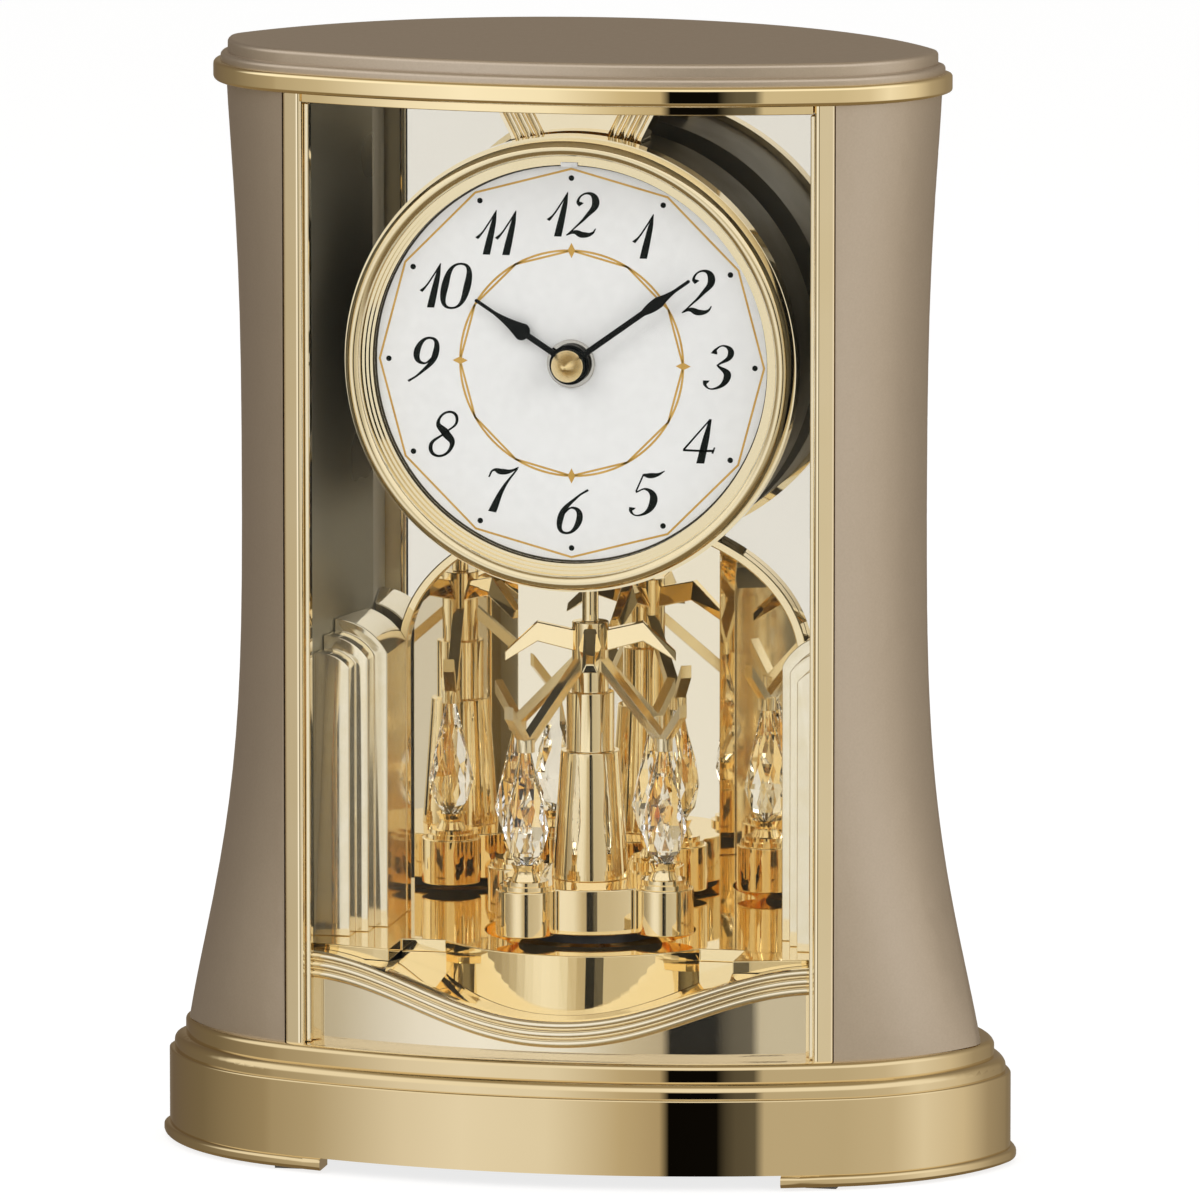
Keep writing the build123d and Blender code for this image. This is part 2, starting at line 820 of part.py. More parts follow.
def minute_arbor():
    """Arbor of the minute hand with its cannon pinion."""
    rear = setting_wheel_rear - 2 * wheel_thickness
    tail = movement_rear + movement_wall + end_play
    arbor = post(arbor_radius, tail, minute_boss_front + cap_height / 2)
    pinion_rear = setting_wheel_rear - wheel_thickness
    pinion_front = setting_wheel_front + wheel_gap / 2
    collar = post(1.6 * arbor_radius, rear + end_play, pinion_rear)
    return dial_frame * (arbor + gear(cannon_teeth, -90, pinion_rear, pinion_front) + collar)


def hour_wheel():
    """Hour wheel with the pipe that carries the hour hand."""
    wheel = gear(hour_teeth, -90 + 180 / hour_teeth, hour_wheel_rear, hour_wheel_front)
    pipe = post(hour_pipe_radius, hour_wheel_rear, hour_boss_front)
    bore = post(arbor_radius + running_clearance, hour_wheel_rear, hour_boss_front)
    return dial_frame * (wheel + pipe - bore)


def setting_wheel():
    """Minute wheel, its pinion and the shaft to the back of the case."""
    wheel = gear(setting_teeth, 90 + 180 / setting_teeth, setting_wheel_rear, setting_wheel_front)
    pinion = gear(pinion_teeth, 90, setting_wheel_front, hour_wheel_front)
    shaft = post(setting_shaft_radius, -case_back - knob_height, plate_rear - end_play)
    return setting_frame * (wheel + pinion + shaft)


def setting_knob():
    """Grooved knob at the back of the case."""
    grip_count = 18
    rear = -case_back - end_play * 4
    knob = post(knob_radius, rear - knob_height, rear)
    groove = Pos(knob_radius, 0, 0) * post(knob_radius / 12, rear - knob_height, rear)
    for cut in around(groove, grip_count, 0):
        knob -= cut
    bore = post(setting_shaft_radius + seat_clearance, rear - knob_height, rear)
    return setting_frame * (knob - bore)


def hand(length, leaf, boss_radius, bore, rear, angle):
    """Hand with a leaf and a needle tip on a round boss, pointing at a clock angle.

    The leaf is given as its half width, then its start, widest place and end as shares of the length.
    """
    leaf_half, start, wide, end = leaf
    leaf_start = (hand_stem_half, start * length)
    leaf_side = (leaf_half, wide * length)
    leaf_end = (hand_needle_half, end * length)
    shoulder = (0.15 * hand_stem_half + 0.85 * leaf_half, (start + wide) / 2 * length)
    flank = (0.65 * hand_needle_half + 0.35 * leaf_half, (wide + end) / 2 * length)
    needle_end = (hand_needle_half, length - hand_needle_half)
    right = [
        Line((hand_stem_half, 0), leaf_start),
        ThreePointArc(leaf_start, shoulder, leaf_side),
        ThreePointArc(leaf_side, flank, leaf_end),
        Line(leaf_end, needle_end),
    ]
    left = [mirror(edge, about=Plane.YZ) for edge in right]
    tip = ThreePointArc(needle_end, (0, length), (-hand_needle_half, length - hand_needle_half))
    blade = make_face(right + left + [tip, Line((-hand_stem_half, 0), (hand_stem_half, 0))])
    solid = raised(blade, rear + hand_thickness, hand_thickness)
    solid += post(boss_radius, rear, rear + hand_boss_height)
    solid -= post(bore + seat_clearance, rear, rear + hand_boss_height)
    return dial_frame * Rot(0, 0, -angle) * solid


def hour_hand():
    """Short black hand on the hour pipe."""
    bore = hour_pipe_radius
    return hand(hour_hand_length, hour_leaf, hour_boss_radius, bore, hour_boss_rear, hour_hand_angle)


def minute_hand():
    """Long black hand on the minute arbor."""
    bore = arbor_radius
    return hand(minute_hand_length, minute_leaf, minute_boss_radius, bore, minute_boss_rear, minute_hand_angle)


def hand_cap():
    """Gold cone over the end of the arbor."""
    tip_radius = cap_radius / 5
    cone = turned(
        [
            (0, minute_boss_front),
            (cap_radius, minute_boss_front),
            (cap_radius, minute_boss_front + cap_height / 6),
            (tip_radius, minute_boss_front + cap_height),
            (0, minute_boss_front + cap_height),
        ]
    )
    bore_top = minute_boss_front + cap_height / 2 + seat_clearance
    return dial_frame * (cone - post(arbor_radius + seat_clearance, minute_boss_front, bore_top))


def pivot_bush():
    """Bearing cup in the middle of the well."""
    cup = post(pivot_bush_radius, well_base, well_base + pivot_bush_height)
    bore = post(pivot_radius + running_clearance, well_base + pivot_radius, well_base + pivot_bush_height)
    return pendulum_frame * (cup - bore)


def guide_bush():
    """Upper guide of the stem, seated under the drum."""
    base = drum_low - guide_bush_drop
    bush = post(guide_bush_radius, base, drum_low + guide_bush_radius / 2)
    bush -= post(stem_radius + running_clearance, base, drum_low)
    return pendulum_frame * bush - dial_frame * post(drum_radius, -drum_back, dial_rear)


def drive_coil():
    """Coil under the well's floor."""
    top = well_base - well_floor
    return pendulum_frame * ring(coil_outer, coil_inner, top - coil_height, top)


def drive_magnet():
    """Ring magnet under the platform."""
    return pendulum_frame * ring(magnet_outer, magnet_inner, platform_base - magnet_height, platform_base)


def pendulum_platform():
    """Four-lobed platform with its pivot pin."""
    plate = post(platform_centre_radius, platform_base, platform_top)
    lobe = Pos(lobe_ring, 0, 0) * post(lobe_radius, platform_base, platform_top)
    for copy in around(lobe, 4, lobe_angle):
        plate += copy
    pin = post(pivot_radius, well_base + pivot_radius + end_play, platform_base)
    return pendulum_frame * (plate + pin)


def crystal_cups():
    """Four turned cups with two steps and a waisted collar, one on each lobe."""
    step_level = platform_top + cup_step_height
    cup = turned(
        [
            (0, platform_top),
            (cup_radius, platform_top),
            (cup_radius, step_level),
            (cup_radius - cup_step, step_level),
            (cup_radius - cup_step, cup_top),
            (collar_radius, cup_top),
            (collar_waist, cup_top + collar_height / 2),
            (collar_radius, crystal_base),
            (0, crystal_base),
        ]
    )
    return [pendulum_frame * copy for copy in around(Pos(lobe_ring, 0, 0) * cup, 4, lobe_angle)]


def girdle(step):
    """Corners of one girdle of a drop, each girdle half a side on from the one below."""
    share, width = crystal_girdles[step]
    level = crystal_base + share * crystal_height
    corners = []
    for side in range(crystal_sides):
        angle = math.pi * (step + 2 * side) / crystal_sides
        radius = width * crystal_radius
        corners.append((radius * math.cos(angle), radius * math.sin(angle), level))
    return corners


def facet(*corners):
    """Flat facet through its corners."""
    return Face(Wire.make_polygon(corners))


def crystals():
    """Four drops with triangular facets, each between its cup and its fork."""
    girdles = [girdle(step) for step in range(len(crystal_girdles))]
    facets = [facet(*girdles[0]), facet(*girdles[-1])]
    for low, high in zip(girdles, girdles[1:]):
        for side in range(crystal_sides):
            following = (side + 1) % crystal_sides
            facets.append(facet(low[side], low[following], high[side]))
            facets.append(facet(low[following], high[following], high[side]))
    drop = Solid(Shell(facets))
    return [pendulum_frame * copy for copy in around(Pos(lobe_ring, 0, 0) * drop, 4, lobe_angle)]


def bar(points, width):
    """Bent bar in the radial plane through points of reach, level and thickness."""
    upper = [(reach, 0, level + thickness / 2) for reach, level, thickness in points]
    lower = [(reach, 0, level - thickness / 2) for reach, level, thickness in reversed(points)]
    face = make_face(Polyline(upper + lower, close=True))
    return extrude(face, amount=width / 2, dir=(0, 1, 0), both=True)


def crystal_forks():
    """Four forks that join the drops to the hub and carry a stub outward."""
    seat = crystal_top + fork_bar
    inner = column_hub_radius + seat_clearance
    depth = 1.5 * fork_bar
    stub_end = (lobe_ring + fork_stub_reach, seat + fork_stub_rise, depth)
    arm = bar([(inner - fork_width / 2, fork_level, depth), (lobe_ring, seat, depth)], fork_width)
    stub = bar([(lobe_ring, seat, depth), stub_end], fork_width)
    boss = Pos(lobe_ring, 0, 0) * post(0.8 * fork_width, crystal_top, seat + fork_bar / 2)
    fork = arm + stub + boss - post(inner, hub_base, hub_top)
    return [pendulum_frame * copy for copy in around(fork, 4, lobe_angle)]


def pendulum_column():
    """Turned column: cone, collar, hub and stem."""
    stem_top = drum_low - end_play * 4
    column = turned(
        [
            (0, platform_top),
            (column_foot_radius, platform_top),
            (column_neck_radius, collar_base),
            (column_collar_radius, collar_base),
            (column_collar_radius, hub_base),
            (column_hub_radius, hub_base),
            (column_hub_radius, hub_top),
            (stem_radius, hub_top),
            (stem_radius, stem_top),
            (0, stem_top),
        ]
    )
    return pendulum_frame * column


def wing_arms():
    """Four gull-wing leaves on the hub, thinner towards the tip."""
    inner = column_hub_radius + seat_clearance
    points = [
        (inner - wing_width / 4, hub_top - wing_root_drop, wing_bar),
        (wing_peak_reach, hub_top - wing_bar / 2, wing_bar),
        (wing_reach, hub_top - wing_tip_drop, wing_tip_bar),
    ]
    wing = bar(points, wing_width) - post(inner, hub_base, hub_top)
    return [pendulum_frame * copy for copy in around(wing, 4, wing_angle)]


def save(name, shape):
    """Write one node, a single solid or a group of solids."""
    if isinstance(shape, list):
        shape = Compound(children=shape)
    export_step(shape, f"parts/{name}.step")


def main():
    os.makedirs("parts", exist_ok=True)
    shell = case_shell()
    save("back_cover", back_cover(shell))
    save("battery_door", battery_door(shell))
    for name, shapes in (
        ("side_panel", side_panels(shell)),
        ("column", columns()),
        ("inner_wall", inner_walls()),
        ("pipe_block", pipe_blocks()),
    ):
        save(f"right_{name}", shapes[0])
        save(f"left_{name}", shapes[1])
    for make in (
        foot_pads,
        foot_rails,
        base_plate,
        base_plinth,
        front_glass,
        top_rail,
        top_band,
        top_lid,
        ceiling_plate,
        battery_tray,
        battery_cell,
        back_mirror,
        arch_trim,
        alcove_mirror,
        stage_floor,
        wave_apron,
        hanger_bracket,
        dial_drum,
        dial_bezel,
        dial_plate,
        movement_case,
        movement_plate,
        centre_nut,
        minute_arbor,
        minute_hand,
        hand_cap,
        hour_wheel,
        hour_hand,
        setting_wheel,
        setting_knob,
        pivot_bush,
        guide_bush,
        drive_coil,
        drive_magnet,
        pendulum_platform,
        crystal_cups,
        crystals,
        crystal_forks,
        pendulum_column,
        wing_arms,
    ):
        save(make.__name__, make())


main()
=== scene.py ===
import json
import math
import bmesh
import bpy
from mathutils import Matrix, Vector
from mathutils.bvhtree import BVHTree

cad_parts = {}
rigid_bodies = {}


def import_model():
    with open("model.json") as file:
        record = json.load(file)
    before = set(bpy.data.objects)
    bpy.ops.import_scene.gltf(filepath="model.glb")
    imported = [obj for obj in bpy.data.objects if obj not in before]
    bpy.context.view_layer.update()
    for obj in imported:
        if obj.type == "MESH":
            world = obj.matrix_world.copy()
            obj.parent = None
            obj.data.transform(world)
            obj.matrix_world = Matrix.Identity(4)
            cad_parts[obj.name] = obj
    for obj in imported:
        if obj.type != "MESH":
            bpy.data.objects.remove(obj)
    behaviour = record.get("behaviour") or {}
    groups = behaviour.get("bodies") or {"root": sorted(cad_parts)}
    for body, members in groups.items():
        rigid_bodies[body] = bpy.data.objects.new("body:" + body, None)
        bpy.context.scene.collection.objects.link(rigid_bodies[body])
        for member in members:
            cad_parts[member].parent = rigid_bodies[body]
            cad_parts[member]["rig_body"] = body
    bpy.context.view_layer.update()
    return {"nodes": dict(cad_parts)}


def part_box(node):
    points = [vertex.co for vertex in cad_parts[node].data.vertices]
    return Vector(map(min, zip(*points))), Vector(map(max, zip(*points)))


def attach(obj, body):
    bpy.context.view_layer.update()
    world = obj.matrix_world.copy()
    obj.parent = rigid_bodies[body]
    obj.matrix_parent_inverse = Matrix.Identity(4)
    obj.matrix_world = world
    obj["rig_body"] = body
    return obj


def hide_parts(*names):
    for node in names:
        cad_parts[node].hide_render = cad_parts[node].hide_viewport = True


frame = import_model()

mm = 0.001
quarterTurn = math.radians(90)
print("frame loaded with", len(frame["nodes"]), "nodes")


# camera at the photograph's angle
cameraView = {
    "azimuth": 11.32,  # degrees from -Y towards +X
    "elevation": 8.83,
    "distance": 3.066,
    "target": (0.00312, -0.004, 0.10908),
    "lens": 472.8,
    "sensor": 36.0,
    "clipEnd": 100.0,
}


def makeCamera():
    azimuth = math.radians(cameraView["azimuth"])
    elevation = math.radians(cameraView["elevation"])
    level = math.cos(elevation)
    back = Vector((math.sin(azimuth) * level, -math.cos(azimuth) * level, math.sin(elevation)))
    lensData = bpy.data.cameras.new("viewCamera")
    lensData.lens = cameraView["lens"]
    lensData.sensor_width = cameraView["sensor"]
    lensData.clip_end = cameraView["clipEnd"]
    camera = bpy.data.objects.new("viewCamera", lensData)
    bpy.context.scene.collection.objects.link(camera)
    camera.location = Vector(cameraView["target"]) + back * cameraView["distance"]
    camera.rotation_euler = (-back).to_track_quat("-Z", "Y").to_euler()
    bpy.context.scene.camera = camera


# studio: white room, with darker cards that only the polished surfaces see
studio = {
    "ambient": 0.62,
    "cards": [  # heading in degrees from -Y towards +X, and the colour of that side of the room
        (-180, (0.27, 0.22, 0.16)), (-146, (0.17, 0.13, 0.09)), (-105, (0.24, 0.20, 0.14)), (-60, (0.44, 0.38, 0.28)),
        (-48, (0.60, 0.54, 0.43)), (-34, (0.94, 0.91, 0.86)), (-24, (1.05, 1.04, 1.02)), (-11, (0.99, 0.97, 0.92)),
        (0, (0.66, 0.58, 0.43)), (7, (0.52, 0.44, 0.31)), (22, (0.66, 0.60, 0.48)), (34, (0.66, 0.60, 0.48)),
        (60, (0.74, 0.68, 0.57)), (78, (0.95, 0.91, 0.83)), (104, (0.80, 0.73, 0.61)), (124, (0.46, 0.40, 0.31)),
        (150, (0.30, 0.25, 0.18)), (180, (0.27, 0.22, 0.16)),
    ],
    "darkCards": [  # heading and how much of the light they let by
        (-180, 1.0), (6.6, 1.0), (7.0, 0.008), (15.2, 0.008), (15.6, 0.20), (20.6, 0.23), (21.0, 1.0), (180, 1.0),
    ],
    "darkBand": (-0.25, 0.05),  # rise of the rays that meet the dark cards
    "bandSoft": 0.01,
    "ceilingBand": (0.0, 0.32),
    "ceiling": (1.12, 1.09, 1.02),
    "ceilingEdge": (0.30, -0.10),  # the bright part of the ceiling ends behind the clock
    "zenithBand": (0.70, 0.93),
    "zenith": (0.40, 0.33, 0.21),
    "groundBand": (-0.27, -0.55),
    "ground": (0.24, 0.18, 0.10),
    "lamps": [  # name, place, size, power
        ("keyLamp", (-0.75, -1.15, 1.05), 0.9, 7.4),
        ("fillLamp", (1.10, -0.85, 0.70), 0.8, 6.4),
        ("topLamp", (0.0, 0.10, 1.40), 0.9, 4.4),
    ],
    "lampAim": (0, 0, 0.1),
    "floorHalf": 6.0,
    "paperRough": 0.9,
    "paperTone": 0.9,
    "floorGlow": 0.80,
    "floorSeen": 0.25,  # tone of the paper for the camera, under its glow
}


def headingRamp(nodes, links, heading, places):
    node = nodes.new("ShaderNodeValToRGB")
    while len(node.color_ramp.elements) < len(places):
        node.color_ramp.elements.new(0.5)
    for element, (angle, colour) in zip(node.color_ramp.elements, places):
        element.position = (angle + 180) / 360
        element.color = (*colour, 1)
    links.new(heading, node.inputs["Fac"])
    return node.outputs["Color"]


def riseStep(nodes, links, rise, low, high):
    step = nodes.new("ShaderNodeMapRange")
    step.interpolation_type = "SMOOTHSTEP"
    step.inputs["From Min"].default_value = low
    step.inputs["From Max"].default_value = high
    links.new(rise, step.inputs["Value"])
    return step.outputs["Result"]


def mathNode(nodes, links, operation, first, second):
    node = nodes.new("ShaderNodeMath")
    node.operation = operation
    for socket, value in zip(node.inputs, (first, second)):
        if isinstance(value, float):
            socket.default_value = value
        else:
            links.new(value, socket)
    return node.outputs[0]


def layerOver(nodes, links, below, share, colour, blend="MIX"):
    layer = nodes.new("ShaderNodeMixRGB")
    layer.blend_type = blend
    links.new(share, layer.inputs["Fac"])
    links.new(below, layer.inputs["Color1"])
    if isinstance(colour, tuple):
        layer.inputs["Color2"].default_value = (*colour, 1)
    else:
        links.new(colour, layer.inputs["Color2"])
    return layer.outputs["Color"]


def roomLight(nodes, strength=1.0):
    light = nodes.new("ShaderNodeBackground")
    light.inputs["Color"].default_value = (1, 1, 1, 1)
    light.inputs["Strength"].default_value = strength
    return light


def blendLights(nodes, links, share, first, second):
    blend = nodes.new("ShaderNodeMixShader")
    for socket, value in zip(blend.inputs, (share, first, second)):
        links.new(value, socket)
    return blend.outputs[0]


def makeRoom():
    world = bpy.data.worlds.new("studioRoom")
    bpy.context.scene.world = world
    world.use_nodes = True
    nodes = world.node_tree.nodes
    links = world.node_tree.links
    nodes.clear()
    coords = nodes.new("ShaderNodeTexCoord")
    split = nodes.new("ShaderNodeSeparateXYZ")
    links.new(coords.outputs["Generated"], split.inputs[0])
    across, along, rise = split.outputs
    ahead = mathNode(nodes, links, "MULTIPLY", along, -1.0)
    share = nodes.new("ShaderNodeMapRange")
    share.inputs["From Min"].default_value = -math.pi
    share.inputs["From Max"].default_value = math.pi
    links.new(mathNode(nodes, links, "ARCTAN2", across, ahead), share.inputs["Value"])
    heading = share.outputs["Result"]
    # cards all round, the dark ones in their band
    colour = headingRamp(nodes, links, heading, studio["cards"])
    greys = [(angle, (level, level, level)) for angle, level in studio["darkCards"]]
    darkCards = headingRamp(nodes, links, heading, greys)
    low, high = studio["darkBand"]
    soft = studio["bandSoft"]
    above = riseStep(nodes, links, rise, low - soft, low + soft)
    below = riseStep(nodes, links, rise, high + soft, high - soft)
    inBand = mathNode(nodes, links, "MULTIPLY", above, below)
    colour = layerOver(nodes, links, colour, inBand, darkCards, "MULTIPLY")
    # ceiling, zenith and ground over them
    overhead = riseStep(nodes, links, rise, *studio["ceilingBand"])
    inFront = riseStep(nodes, links, along, *studio["ceilingEdge"])
    ceiling = mathNode(nodes, links, "MULTIPLY", overhead, inFront)
    colour = layerOver(nodes, links, colour, ceiling, studio["ceiling"])
    for part in ("zenith", "ground"):
        inPart = riseStep(nodes, links, rise, *studio[part + "Band"])
        colour = layerOver(nodes, links, colour, inPart, studio[part])
    # polished surfaces see the cards, the camera sees white, and the rest is lit softly
    cardLight = roomLight(nodes)
    links.new(colour, cardLight.inputs["Color"])
    whiteLight = roomLight(nodes)
    softLight = roomLight(nodes, studio["ambient"])
    path = nodes.new("ShaderNodeLightPath")
    glossy = blendLights(nodes, links, path.outputs["Is Glossy Ray"], softLight.outputs[0], cardLight.outputs[0])
    seen = mathNode(nodes, links, "MAXIMUM", path.outputs["Is Camera Ray"], path.outputs["Is Transmission Ray"])
    output = nodes.new("ShaderNodeOutputWorld")
    links.new(blendLights(nodes, links, seen, glossy, whiteLight.outputs[0]), output.inputs["Surface"])


def makeLamps():
    for name, place, size, power in studio["lamps"]:
        lampData = bpy.data.lights.new(name, "AREA")
        lampData.size = size
        lampData.energy = power
        lamp = bpy.data.objects.new(name, lampData)
        bpy.context.scene.collection.objects.link(lamp)
        lamp.location = place
        lamp.rotation_euler = (Vector(studio["lampAim"]) - Vector(place)).to_track_quat("-Z", "Y").to_euler()
        lamp.visible_glossy = False


def makeFloor():
    sheet = bmesh.new()
    bmesh.ops.create_grid(sheet, x_segments=1, y_segments=1, size=studio["floorHalf"])
    mesh = meshFrom(sheet, "studioFloor")
    floor = bpy.data.objects.new("studioFloor", mesh)
    bpy.context.scene.collection.objects.link(floor)
    floor.visible_glossy = False
    paper, nodes, links, shader = startFinish("studioPaper")
    shader.inputs["Roughness"].default_value = studio["paperRough"]
    path = nodes.new("ShaderNodeLightPath")
    tone = nodes.new("ShaderNodeMapRange")
    tone.inputs["To Min"].default_value = studio["paperTone"]
    tone.inputs["To Max"].default_value = studio["floorSeen"]
    links.new(path.outputs["Is Camera Ray"], tone.inputs["Value"])
    links.new(tone.outputs["Result"], shader.inputs["Base Color"])
    glow = mathNode(nodes, links, "MULTIPLY", path.outputs["Is Camera Ray"], studio["floorGlow"])
    shader.inputs["Emission Color"].default_value = (1, 1, 1, 1)
    links.new(glow, shader.inputs["Emission Strength"])
    mesh.materials.append(paper)


# finishes
fieldSpan = (0.3, 0.7)  # part of a noise field that carries the change


def startFinish(name):
    finish = bpy.data.materials.new(name)
    finish.use_nodes = True
    nodes = finish.node_tree.nodes
    return finish, nodes, finish.node_tree.links, nodes["Principled BSDF"]


def noiseField(nodes, links, scale, detail=3.0):
    coords = nodes.new("ShaderNodeTexCoord")
    noise = nodes.new("ShaderNodeTexNoise")
    noise.inputs["Scale"].default_value = scale
    noise.inputs["Detail"].default_value = detail
    links.new(coords.outputs["Object"], noise.inputs["Vector"])
    return noise.outputs["Fac"]


def tintBetween(nodes, links, field, low, high, shader):
    ramp = nodes.new("ShaderNodeValToRGB")
    for element, place, colour in zip(ramp.color_ramp.elements, fieldSpan, (low, high)):
        element.position = place
        element.color = (*colour, 1)
    links.new(field, ramp.inputs["Fac"])
    links.new(ramp.outputs["Color"], shader.inputs["Base Color"])


def roughBetween(nodes, links, field, low, high, shader):
    spread = nodes.new("ShaderNodeMapRange")
    spread.inputs["From Min"].default_value = fieldSpan[0]
    spread.inputs["From Max"].default_value = fieldSpan[1]
    spread.inputs["To Min"].default_value = low
    spread.inputs["To Max"].default_value = high
    links.new(field, spread.inputs["Value"])
    links.new(spread.outputs["Result"], shader.inputs["Roughness"])


def bumpFrom(nodes, links, field, strength, depth, shader):
    bump = nodes.new("ShaderNodeBump")
    bump.inputs["Strength"].default_value = strength
    bump.inputs["Distance"].default_value = depth
    links.new(field, bump.inputs["Height"])
    links.new(bump.outputs["Normal"], shader.inputs["Normal"])


def grainedFinish(name, look):
    finish, nodes, links, shader = startFinish(name)
    shader.inputs["Metallic"].default_value = look["metal"]
    shader.inputs["Specular IOR Level"].default_value = look.get("specular", 0.5)
    tintBetween(nodes, links, noiseField(nodes, links, look["toneScale"]), look["low"], look["high"], shader)
    roughBetween(nodes, links, noiseField(nodes, links, look["roughScale"]), *look["rough"], shader)
    if look.get("grain"):
        grainScale, strength, depth = look["grain"]
        bumpFrom(nodes, links, noiseField(nodes, links, grainScale, detail=4.0), strength, depth, shader)
    return finish


